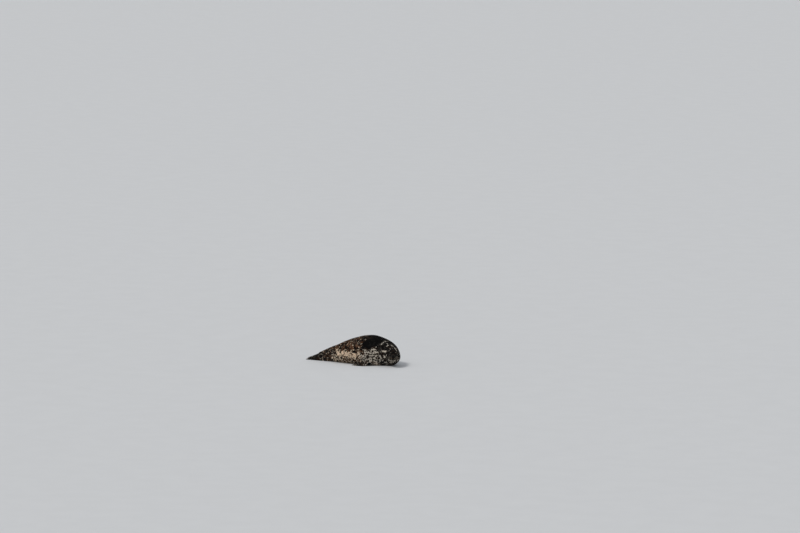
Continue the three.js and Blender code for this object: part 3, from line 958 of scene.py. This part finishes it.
def grain_at(kind, where):
    """Coordinates in which the coat's streaks run along the lie of the hair, in millimetres."""
    s, angle = where[:, 0], where[:, 1]
    girth = (angle + np.pi) % (2 * np.pi) * listed(GIRTHS, s)
    breadth = np.where(kind >= HIND_LEFT, 45, 48)
    body = np.stack([s * GRAIN_STRETCH, girth, 0 * s], 1)
    apart = kind * LIMB_APART + 5 * np.sin(angle)
    limb = np.stack([s * LIMB_LENGTH * GRAIN_STRETCH, where[:, 2] * breadth, apart], 1)
    return np.where((kind == BODY)[:, None], body, limb)


def dress(piece, corners, places, tone, detail, grain):
    """The bake map and the attributes that the coat's material reads."""
    set_bake_map(piece, corners)
    set_attribute(piece, "coat_pos", places * MM)
    set_attribute(piece, "tone", tone, "FLOAT_COLOR")
    set_attribute(piece, "detail", detail)
    set_attribute(piece, "grain", grain)


def build_skin():
    """The skin's object, with the rims of the lids in the same mesh."""
    points, triangles, kind, where = POINTS, TRIANGLES, KIND, WHERE
    tone = tone_at(kind, where, points, EYE_AWAY)
    bare, shade = bareness(), CREASE_SHADE * CREASE
    corners = corner_map(triangles, kind, where)
    for rim, rim_faces in lid_rims():
        count = len(rim)
        rim_kind = np.full(count, BODY)
        turn = np.sign(to_head(rim)[:, 1]) * RIM_TURN
        rim_where = np.stack([np.full(count, EYE_AT[0]), turn, 0 * turn, 0 * turn], 1)
        corners = np.vstack([corners, corner_map(rim_faces, rim_kind, rim_where)])
        triangles = np.vstack([triangles, rim_faces + len(points)])
        points = np.vstack([points, rim])
        kind, where = np.append(kind, rim_kind), np.vstack([where, rim_where])
        tone = np.vstack([tone, np.tile(RIM_TONE, (count, 1))])
        bare, shade = np.append(bare, np.ones(count)), np.append(shade, np.full(count, RIM_SHADE))
    skin = mesh_object("skin", points, triangles)
    detail = np.stack([bare, shade, np.full(len(bare), 0.5)], 1)
    dress(skin, corners, points, tone, detail, grain_at(kind, where))
    return skin


skin = build_skin()

# ---- Coat: short flat locks of hair, each a closed kite with four points ----

PLENTY = 1.0
COVER = 2.6  # how many locks deep the coat is on the body
FACE_COVER = 1.5
LENGTHS = ((0, 2.6), (25, 3.4), (60, 4.6), (120, 6.5), (200, 9), (320, 12), (1150, 12), (BODY_LENGTH, 8))
HAIRLESS = 0.3  # bareness from which no hair grows
LID_HAIRLESS = 1.22  # reach from the eye within which none grows
PRESSED = (-0.35, 7)  # nor where the skin faces down more than this, at less than this height
LOCK_TURN = 0.17  # how unevenly the locks lie, in radians
LOCK_LENGTHS = (0.72, 1.28)  # least and most, as shares of the usual size
LOCK_WIDTHS = (0.75, 1.2)
LOCK_LIFT = (0.045, 0.11)  # of the tip, as a share of the length, and how much it varies
WIDEST_AT = 0.34  # share of a lock's length
SIDE_SINK = 0.08
ROOT_SINK = 0.35
LOWEST_HAIR = 0.2  # height above the floor


def lock_length(kind, where):
    limb = np.where(kind >= HIND_LEFT, 9, 9.5) - 4.5 * where[:, 0]
    return np.where(kind == BODY, listed(LENGTHS, where[:, 0]), limb)


def hairless(normals):
    """Where no hair grows: bare skin, and what the seal lies on."""
    pressed = (normals[:, 2] < PRESSED[0]) & (POINTS[:, 2] < PRESSED[1])
    return (bareness() > HAIRLESS) | (EYE_AWAY < LID_HAIRLESS) | pressed


def grow_locks():
    """Places, directions and sizes of all the locks, and the corner map's place at each root."""
    normals = vertex_normals(POINTS, TRIANGLES)
    a, b, c = POINTS[TRIANGLES].swapaxes(0, 1)
    area = np.linalg.norm(np.cross(b - a, c - a), axis=1) / 2
    length = lock_length(KIND, WHERE)
    cover = FACE_COVER + (COVER - FACE_COVER) * smoothstep(WHERE[:, 0], 90, 260) * (KIND == BODY)
    density = cover / (0.5 * length * lock_width(length))
    density = np.where(hairless(normals), 0, density)[TRIANGLES]
    count = RANDOM.poisson(PLENTY * area * density.mean(1) * (density.min(1) > 0))
    owner = np.repeat(np.arange(len(TRIANGLES)), count)
    share = np.sort(RANDOM.random((len(owner), 2)), 1)
    weights = np.stack([share[:, 0], share[:, 1] - share[:, 0], 1 - share[:, 1]], 1)
    corners = TRIANGLES[owner]
    home = TRIANGLES[owner, weights.argmax(1)]

    def blend(values):
        return (values * weights[..., None]).sum(1)

    normal = unit(blend(normals[corners]))
    ahead = blend(LIE[corners])
    return {
        "root": blend(POINTS[corners]),
        "normal": normal,
        "ahead": unit(ahead - dot(ahead, normal) * normal),
        "kind": KIND[home],
        "where": WHERE[home],
        "length": length[home],
        "flat": blend(corner_map(TRIANGLES, KIND, WHERE)[owner]),
        "shade": blend(CREASE[corners, None])[:, 0],
        "eye": EYE_AWAY[home],
    }


def lock_width(length):
    return 0.12 * length + 0.3


def swirl(points):
    """A slow turn of the coat's lie from place to place, in radians."""
    x, y, z = points.T / 100
    slow = np.sin(2.1 * x + 1.3 * z) + np.sin(3.7 * y - 2.2 * x + 1)
    return 0.16 * (slow + 0.7 * np.sin(6.1 * z + 5.3 * x))


def on_skin(points):
    """The nearest places on the skin, and the directions out of it there."""
    tree = BVHTree.FromPolygons(POINTS.tolist(), TRIANGLES.tolist())
    found = [tree.find_nearest(p)[:2] for p in points.tolist()]
    return np.array([f[0] for f in found]), np.array([f[1] for f in found])


def lock_points(locks):
    """The four points of every lock: root, widest left, widest right and tip."""
    root, normal, ahead, length = (locks[key] for key in ("root", "normal", "ahead", "length"))
    count = len(root)
    turn = (swirl(root) + RANDOM.normal(0, LOCK_TURN, count))[:, None]
    side = np.cross(normal, ahead)
    ahead, side = ahead * np.cos(turn) + side * np.sin(turn), side * np.cos(turn) - ahead * np.sin(turn)
    length = (length * RANDOM.uniform(*LOCK_LENGTHS, count))[:, None]
    half = 0.5 * lock_width(length) * RANDOM.uniform(*LOCK_WIDTHS, (count, 1))
    lift = (LOCK_LIFT[0] + LOCK_LIFT[1] * RANDOM.random((count, 1))) * length
    sunk_root = root - normal * ROOT_SINK
    middle = on_skin(root + ahead * length * WIDEST_AT)[0] - normal * SIDE_SINK
    tip, tip_normal = on_skin(root + ahead * length)
    points = np.stack([sunk_root, middle + side * half, middle - side * half, tip + tip_normal * lift], 1)
    points[..., 2] = np.maximum(points[..., 2], LOWEST_HAIR)
    return points, half[:, 0]


LOCK_FACES = np.array([[0, 2, 3], [0, 3, 1], [0, 1, 2], [1, 3, 2]])
LOCK_MAP = np.array([[-0.5, 0], [-0.15, 0.5], [-0.15, -0.5], [0.5, 0]])
LOCK_GRAIN = np.array([[0, 0, 0], [0.3, 1, 0], [0.3, -1, 0], [1, 0, 0]])
LOCK_SHADE = np.array([0.34, 0.16, 0.16, 0.0])  # roots lie deeper, in the shade of the coat

COAT_PIECES = [
    # name, slot, kinds, from and to along the spine
    ("coat_muzzle", "muzzle", [BODY], -1, 62),
    ("coat_face", "face", [BODY], 62, 205),
    ("coat_neck", "back", [BODY], 205, 380),
    ("coat_shoulders", "back", [BODY], 380, 560),
    ("coat_flank", "coat", [BODY], 560, 740),
    ("coat_trunk", "coat", [BODY], 740, 930),
    ("coat_hips", "coat", [BODY], 930, 1280),
    ("coat_tail", "back", [BODY], 1280, 2000),
    ("coat_fore_flippers", "flipper", [FORE_LEFT, FORE_RIGHT], -1, 2),
    ("coat_hind_flipper_left", "flipper", [HIND_LEFT], -1, 2),
    ("coat_hind_flipper_right", "flipper", [HIND_RIGHT], -1, 2),
]


def build_coat():
    locks = grow_locks()
    points, half = lock_points(locks)
    tone = tone_at(locks["kind"], locks["where"], locks["root"], locks["eye"])
    tint = RANDOM.random(len(points))
    shade = LOCK_SHADE + 0.5 * locks["shade"][:, None]
    detail = np.stack([0 * shade, shade, tint[:, None] + 0 * shade], -1)
    size = np.stack([GRAIN_STRETCH * locks["length"], half, 0 * half], 1)
    grain = grain_at(locks["kind"], locks["where"])[:, None] + LOCK_GRAIN * size[:, None]
    corners = (locks["flat"][:, None] + PATCH * LOCK_MAP)[:, LOCK_FACES]
    corners = np.clip(corners, MAP_EDGE, 1 - MAP_EDGE)
    s = locks["where"][:, 0]
    pieces = []
    for name, slot_name, kinds, low, high in COAT_PIECES:
        pick = np.isin(locks["kind"], kinds) & (s >= low) & (s < high)
        faces = (LOCK_FACES + 4 * np.arange(pick.sum())[:, None, None]).reshape(-1, 3)
        piece = mesh_object(name, points[pick].reshape(-1, 3), faces, smooth=False)
        roots, tones = (np.repeat(values[pick], 4, axis=0) for values in (locks["root"], tone))
        dress(piece, corners[pick], roots, tones, detail[pick], grain[pick])
        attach(piece, "root")
        pieces.append(piece)
    return pieces


COAT = build_coat()
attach(skin, "root")
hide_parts("muzzle", "lower_jaw", "nose", "head", "neck", "shoulders", "trunk", "hips", "tail",
            "fore_flipper_left", "fore_flipper_right", "hind_flipper_left", "hind_flipper_right")

# ---- Eyes ----

EYE_STEPS = 40
EYE_SIDES = 72
CORNEA_RISE = 0.5
CORNEA_REACH = math.radians(44)
CORNEA_TOP = 0.3  # share of its reach that stands at full height


def eyeball(side, name):
    """A closed ball with a slightly raised cornea; "iris" is the angle from its axis."""
    theta, phi = np.meshgrid(np.linspace(0, np.pi, EYE_STEPS + 1)[1:-1], all_round(EYE_SIDES), indexing="ij")
    theta, phi = np.append(theta.ravel(), [0, np.pi]), np.append(phi.ravel(), [0, 0])
    cornea = 1 - smoothstep(theta, CORNEA_TOP * CORNEA_REACH, CORNEA_REACH)
    radius = (EYE_RADIUS + CORNEA_RISE * cornea)[:, None]
    around = np.cos(phi)[:, None] * EYE_FORWARD + np.sin(phi)[:, None] * EYE_UP
    local = EYE_AT + radius * (np.cos(theta)[:, None] * EYE_GAZE + np.sin(theta)[:, None] * around)
    points = (local * [1, side, 1]) @ HEAD_AXES + NOSE_TIP
    ball = mesh_object(name, points, outward_faces(points, capped_tube(EYE_STEPS - 1, EYE_SIDES)))
    set_attribute(ball, "iris", theta, "FLOAT")
    set_attribute(ball, "ray", np.stack([np.cos(phi) * theta, np.sin(phi) * theta, 0 * phi], 1))
    return ball


# ---- Claws and whiskers ----


def swept(path, radius, sides, flatten=1.0):
    """A closed, tapering roll along a path: its points and faces."""
    ahead = unit(np.gradient(path, axis=0))
    side = unit(np.cross(ahead, [0.0, 0.0, 1.0]))
    up = np.cross(side, ahead)
    turn = all_round(sides)[None, :, None]
    out = np.sin(turn) * side[:, None] * flatten + np.cos(turn) * up[:, None]
    rings = path[:, None] + radius[:, None, None] * out
    points = np.vstack([rings.reshape(-1, 3), path[:1], path[-1:]])
    return points, outward_faces(points, capped_tube(len(path), sides))


def joined(name, parts):
    """One mesh of several closed ones, with "along" as the share of each one's length."""
    starts = np.cumsum([0] + [len(points) for points, _, _ in parts[:-1]])
    points = np.vstack([part[0] for part in parts])
    faces = np.vstack([part[1] + start for part, start in zip(parts, starts)])
    obj = mesh_object(name, points, faces)
    set_attribute(obj, "along", np.concatenate([part[2] for part in parts]), "FLOAT")
    return obj


CLAW_RINGS = 18
CLAW_SIDES = 14
CLAW_FLAT = 0.8
CLAW_WAVES = (0.03, 26)  # depth and closeness of the growth rings


def claw(flipper, side, toe):
    """A horn claw that leaves the end of a toe and curves down to a blunt point."""
    length, radius, root, droop = (flipper["claw"][key] for key in ("length", "radius", "root", "droop"))
    across = -1 + (2 * toe + 1) / TOES
    base = flipper_place(flipper, side, flipper["sections"][-1][0], np.float64(across), CLAW_OUTWARD)
    base[0] -= toe_reach(flipper, across)
    base[2] = max(base[2], radius + CLAW_CLEARANCE)
    share = 1 - (1 - np.linspace(0, 1, CLAW_RINGS)) ** 1.6
    drop = droop * share**2
    path = base + np.stack([root - length * share, 0 * share, -drop], 1)
    waves = 1 + CLAW_WAVES[0] * np.sin(CLAW_WAVES[1] * share)
    thick = 0.92 * radius * np.sqrt(np.maximum(1 - share**1.7, 0.002)) * waves
    points, faces = swept(path, thick, CLAW_SIDES, CLAW_FLAT)
    along = np.append(np.repeat(share, CLAW_SIDES), [0, 1])
    return points, faces, along


def build_claws():
    for kind, flipper in (("fore", FORE), ("hind", HIND)):
        for side, where in LEFT_RIGHT:
            claws = joined(f"{kind}_claws_{where}", [claw(flipper, side, toe) for toe in range(TOES)])
            claws.data.materials.append(CLAW_LOOK)
            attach(claws, "root")
            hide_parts(*[f"{kind}_claw_{where}_{toe + 1}" for toe in range(TOES)])


WHISKER_RADIUS = 0.37
WHISKER_POINT = 0.04  # least radius
WHISKER_RINGS = 30
WHISKER_SIDES = 6
WHISKER_FLAT = 0.7
WHISKER_SINK = 1.5
WHISKER_BEND = (0.7, 0.28)  # backwards and down
WHISKER_SPREAD = 0.06
BEAD = 3.6  # length of one swelling of a whisker


def whisker(root, length, rise, side):
    """A flattened, beaded hair that leaves the face sideways and sweeps back and down."""
    start, normal = FACE_TREE.find_nearest(head_place(np.array(root) * [1, side, 1]).tolist())[:2]
    start, normal = np.array(start), np.array(normal)
    share = np.linspace(0, 1, WHISKER_RINGS)[:, None]
    backwards, aside = HEAD_AXES[0], HEAD_AXES[1] * side
    out = unit(normal + 0.5 * aside + np.array([0, 0, rise]))
    spread = RANDOM.normal(0, WHISKER_SPREAD, 3)
    bend = WHISKER_BEND[0] * backwards - np.array([0, 0, WHISKER_BEND[1]]) + spread
    reach = length * RANDOM.uniform(0.85, 1.15)
    path = start - WHISKER_SINK * normal + reach * (share * (out + 0.5 * spread) + share**2 * bend * 0.6)
    path[:, 2] = np.maximum(path[:, 2], 2)
    share = share[:, 0]
    beads = 1 + 0.12 * np.cos(2 * np.pi * reach * share / BEAD)
    thick = np.maximum(WHISKER_RADIUS * (1 - share) ** 0.75 * beads, WHISKER_POINT)
    points, faces = swept(path, thick, WHISKER_SIDES, WHISKER_FLAT)
    return points, faces, np.append(np.repeat(share, WHISKER_SIDES), [0, 1])


def build_whiskers():
    for side, where in LEFT_RIGHT:
        hairs = [whisker(*row, side) for row in WHISKER_ROOTS + BROW_ROOTS]
        whiskers = joined(f"whiskers_{where}", hairs)
        whiskers.data.materials.append(WHISKER_LOOK)
        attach(whiskers, "root")


# ---- Materials ----


class Nodes:
    """Short ways to build a material's nodes."""

    def __init__(self, name):
        self.material = bpy.data.materials.new(name)
        self.material.use_nodes = True
        self.tree = self.material.node_tree
        self.tree.nodes.clear()
        self.shader = self.tree.nodes.new("ShaderNodeBsdfPrincipled")
        output = self.tree.nodes.new("ShaderNodeOutputMaterial")
        self.tree.links.new(self.shader.outputs["BSDF"], output.inputs["Surface"])

    def put(self, socket, value):
        if isinstance(value, bpy.types.NodeSocket):
            self.tree.links.new(value, socket)
        else:
            socket.default_value = value

    def node(self, kind, inputs, **settings):
        """The outputs of a new node; its inputs are given by name or by number."""
        node = self.tree.nodes.new("ShaderNode" + kind)
        for name, value in settings.items():
            setattr(node, name, value)
        for key, value in inputs.items():
            self.put(node.inputs[key], value)
        return node.outputs

    def math(self, operation, a, b):
        return self.node("Math", {0: a, 1: b}, operation=operation)[0]

    def total(self, first, *others):
        for other in others:
            first = self.math("ADD", first, other)
        return first

    def product(self, first, *others):
        for other in others:
            first = self.math("MULTIPLY", first, other)
        return first

    def line(self, at_zero, slope, value):
        """at_zero + slope * value"""
        return self.math("ADD", at_zero, self.math("MULTIPLY", value, slope))

    def vector(self, operation, a, b):
        return self.node("VectorMath", {0: a, 1: b}, operation=operation)[0]

    def times(self, vector, share):
        return self.node("VectorMath", {0: vector, "Scale": share}, operation="SCALE")[0]

    def attribute(self, name, output="Vector"):
        return self.node("Attribute", {}, attribute_name=name)[output]

    def split(self, vector):
        return self.node("SeparateXYZ", {0: vector})

    def own_place(self):
        return self.node("TexCoord", {})["Object"]

    def noise(self, vector, scale, detail=2.0, roughness=0.5, output="Fac"):
        inputs = {"Vector": vector, "Scale": scale, "Detail": detail, "Roughness": roughness}
        return self.node("TexNoise", inputs)[output]

    def cells(self, vector, scale, spread=1.0):
        return self.node("TexVoronoi", {"Vector": vector, "Scale": scale, "Randomness": spread})["Distance"]

    def ramp(self, value, low, high):
        return self.node("MapRange", {0: value, 1: low, 2: high}, interpolation_type="SMOOTHSTEP")[0]

    def mix(self, share, a, b):
        a, b = (value if isinstance(value, bpy.types.NodeSocket) else (*value, 1) for value in (a, b))
        return self.node("Mix", {"Factor": share, "A": a, "B": b}, data_type="RGBA")["Result"]

    def bump(self, height, strength, distance):
        bumped = self.node("Bump", {"Height": height, "Strength": strength, "Distance": distance})
        self.put(self.shader.inputs["Normal"], bumped["Normal"])

    def set(self, **values):
        for name, value in values.items():
            self.put(self.shader.inputs[name.replace("_", " ")], value)


DARK = (0.0026, 0.0024, 0.0024)
RUST = (0.118, 0.056, 0.029)
PALE = (0.56, 0.52, 0.45)
PALE_WARM = (0.79, 0.63, 0.46)
RING = (0.10, 0.09, 0.078)
GREY = (0.060, 0.054, 0.046)
BARE = (0.006, 0.0056, 0.0056)
DRIFT = 0.027  # metres by which the markings are pulled out of their regular grid
COVERED = (1.22, 1.32)  # values of the markings' field between which pale turns to dark
PUPIL = (0.0012, 0.0010, 0.0010)
IRIS = (0.008, 0.004, 0.0022)
IRIS_FIBRES = (0.014, 0.0075, 0.004)
EYE_MARGIN = (0.006, 0.004, 0.003)


def markings(n, place_at, dark, warm, rings, grey, tint):
    """Dark spots, worms and pale rings, with scales per metre; dark is the share that they cover."""
    drift = n.vector("SUBTRACT", n.noise(place_at, 33, 2, 0.6, "Color"), (0.5, 0.5, 0.5))
    warped = n.vector("ADD", place_at, n.times(drift, DRIFT))
    large, small = n.cells(warped, 24, 0.95), n.cells(warped, 58)
    worms = n.noise(warped, 50, 1)
    blots = n.noise(place_at, 15, 2, 0.6)
    field = n.total(n.product(worms, 2.4), n.product(blots, 0.5))
    field = n.math("SUBTRACT", field, n.total(small, n.product(large, 0.4)))
    field = n.total(field, n.product(tint, 0.08))
    cover = n.ramp(n.total(field, dark), *COVERED)
    ring = n.product(n.ramp(large, 0.38, 0.47), n.ramp(large, 0.60, 0.50), n.ramp(blots, 0.40, 0.58), rings)
    rust = n.product(warm, n.ramp(n.noise(place_at, 26, 3, 0.6), 0.45, 0.60))
    shown = n.mix(cover, n.mix(warm, PALE, PALE_WARM), n.mix(rust, DARK, RUST))
    shown = n.mix(n.product(ring, cover), shown, RING)
    return n.mix(grey, shown, GREY)


def seal_coat():
    n = Nodes("seal_coat")
    dark, warm, rings = n.split(n.attribute("tone"))
    bare, shade, tint = n.split(n.attribute("detail"))
    place_at = n.attribute("coat_pos")
    colour = markings(n, place_at, dark, warm, rings, n.attribute("tone", "Alpha"), tint)
    flecks = n.noise(place_at, 330, 2, 0.7)
    grain = n.noise(n.attribute("grain"), 1.7, 3, 0.65)
    # Brightness: from lock to lock, in fine flecks and along the streaks, and painted shade at the roots of
    # the locks, in the creases of the face and on the rims of the lids.
    hair_and_shade = n.product(n.line(0.78, 0.44, tint), n.line(0.70, 0.60, flecks), n.line(0.35, 1.3, grain))
    hair_and_shade = n.product(hair_and_shade, n.math("SUBTRACT", 1, shade))
    colour = n.mix(bare, n.times(colour, hair_and_shade), n.times(BARE, n.total(0.6, flecks)))
    leather = n.product(n.cells(place_at, 900), bare, 0.5)
    height = n.total(n.product(grain, n.math("SUBTRACT", 1, bare)), leather)
    n.bump(height, 0.55, 0.0008)
    rough = n.math("SUBTRACT", n.line(0.56, 0.22, grain), n.product(bare, 0.28))
    n.set(Base_Color=colour, Roughness=rough, Specular_IOR_Level=0.05)
    return n.material


def eye_look():
    n = Nodes("seal_eye")
    iris, ray = n.attribute("iris", "Fac"), n.attribute("ray")
    fibres = n.noise(ray, 9, 4, 0.7)
    brown = n.times(n.mix(fibres, IRIS, IRIS_FIBRES), n.total(0.5, fibres))
    inner = n.mix(n.ramp(iris, 0.27, 0.33), PUPIL, brown)
    colour = n.mix(n.ramp(iris, 0.55, 0.72), inner, EYE_MARGIN)
    n.bump(n.noise(ray, 3), 0.02, 0.0002)
    n.set(Base_Color=colour, Roughness=n.line(0.04, 0.03, fibres))
    n.set(Coat_Weight=0.25, Coat_Roughness=0.02, Specular_IOR_Level=0.12)
    return n.material


def horn_look(name, root, tip, roughness, stretch):
    """Horn or whisker: a colour from root to tip, with fine lines along it."""
    n = Nodes(name)
    streak = n.noise(n.vector("MULTIPLY", n.own_place(), stretch), 1, 3, 0.6)
    colour = n.mix(n.ramp(n.attribute("along", "Fac"), 0.3, 1), root, tip)
    n.bump(streak, 0.3, 0.0003)
    n.set(Base_Color=n.times(colour, n.line(0.6, 0.8, streak)), Roughness=n.line(roughness, 0.15, streak))
    return n.material


COAT_LOOK = seal_coat()
EYE_LOOK = eye_look()
CLAW_LOOK = horn_look("claw_horn", (0.022, 0.016, 0.013), (0.09, 0.07, 0.052), 0.28, (60, 900, 900))
WHISKER_LOOK = horn_look("whisker", (0.30, 0.25, 0.19), (0.62, 0.56, 0.47), 0.25, (400, 400, 400))

for piece in [skin, *COAT]:
    piece.data.materials.append(COAT_LOOK)

for eye_side, eye_name in LEFT_RIGHT:
    ball = eyeball(eye_side, f"eyeball_{eye_name}")
    ball.data.materials.append(EYE_LOOK)
    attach(ball, "root")
    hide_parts(f"eye_{eye_name}")

build_claws()
build_whiskers()

# ---- Floor, light and camera ----

FLOOR_HALF = 400  # metres: the floor fills the long lens's view
FLOOR_TINT = (0.60, 0.61, 0.62)


def floor_look():
    n = Nodes("floor")
    cloud = n.noise(n.own_place(), 3, 3)
    n.set(Base_Color=n.times(FLOOR_TINT, n.line(0.97, 0.06, cloud)), Roughness=0.75, Specular_IOR_Level=0.2)
    return n.material


corners = np.array([[-1, -1, 0], [1, -1, 0], [1, 1, 0], [-1, 1, 0]]) * FLOOR_HALF / MM
floor = mesh_object("studio_floor", corners, [[0, 1, 2, 3]], smooth=False)
floor.data.materials.append(floor_look())

AZIMUTH = math.radians(29)
ELEVATION = math.radians(6.5)
PIXELS_PER_METRE = 78
IMAGE_WIDTH = 800
LENS = 250
SENSOR = 36
CENTRE_RIGHT = 0.566  # metres from the origin to the middle of the picture
CENTRE_UP = 1.233

right = Vector((math.cos(AZIMUTH), math.sin(AZIMUTH), 0))
back = Vector((math.sin(AZIMUTH) * math.cos(ELEVATION), -math.cos(AZIMUTH) * math.cos(ELEVATION),
               math.sin(ELEVATION)))
camera_data = bpy.data.cameras.new("camera")
camera = bpy.data.objects.new("camera", camera_data)
bpy.context.scene.collection.objects.link(camera)
bpy.context.scene.camera = camera
camera_data.lens = LENS
camera_data.sensor_width = SENSOR
camera_data.clip_start = 0.1
camera_data.clip_end = 2000
distance = IMAGE_WIDTH * LENS / (SENSOR * PIXELS_PER_METRE)
camera.location = back * distance + right * CENTRE_RIGHT + back.cross(right) * CENTRE_UP
camera.rotation_mode = "QUATERNION"
camera.rotation_quaternion = (-back).to_track_quat("-Z", "Y")


def sun(name, strength, softness, azimuth, elevation, colour):
    data = bpy.data.lights.new(name, "SUN")
    data.energy = strength
    data.angle = math.radians(softness)
    data.color = colour
    light = bpy.data.objects.new(name, data)
    a, e = math.radians(azimuth), math.radians(elevation)
    towards = Vector((math.sin(a) * math.cos(e), -math.cos(a) * math.cos(e), math.sin(e)))
    light.rotation_mode = "QUATERNION"
    light.rotation_quaternion = towards.to_track_quat("Z", "Y")
    bpy.context.scene.collection.objects.link(light)


sun("key", 1.7, 14, -20, 50, (1.0, 0.97, 0.93))
sun("fill", 0.4, 90, 80, 35, (0.93, 0.96, 1.0))

world = bpy.data.worlds.new("studio")
world.use_nodes = True
sky = world.node_tree.nodes["Background"]
sky.inputs["Color"].default_value = (0.60, 0.62, 0.65, 1)
sky.inputs["Strength"].default_value = 0.75
bpy.context.scene.world = world
bpy.context.scene.view_settings.view_transform = "Standard"
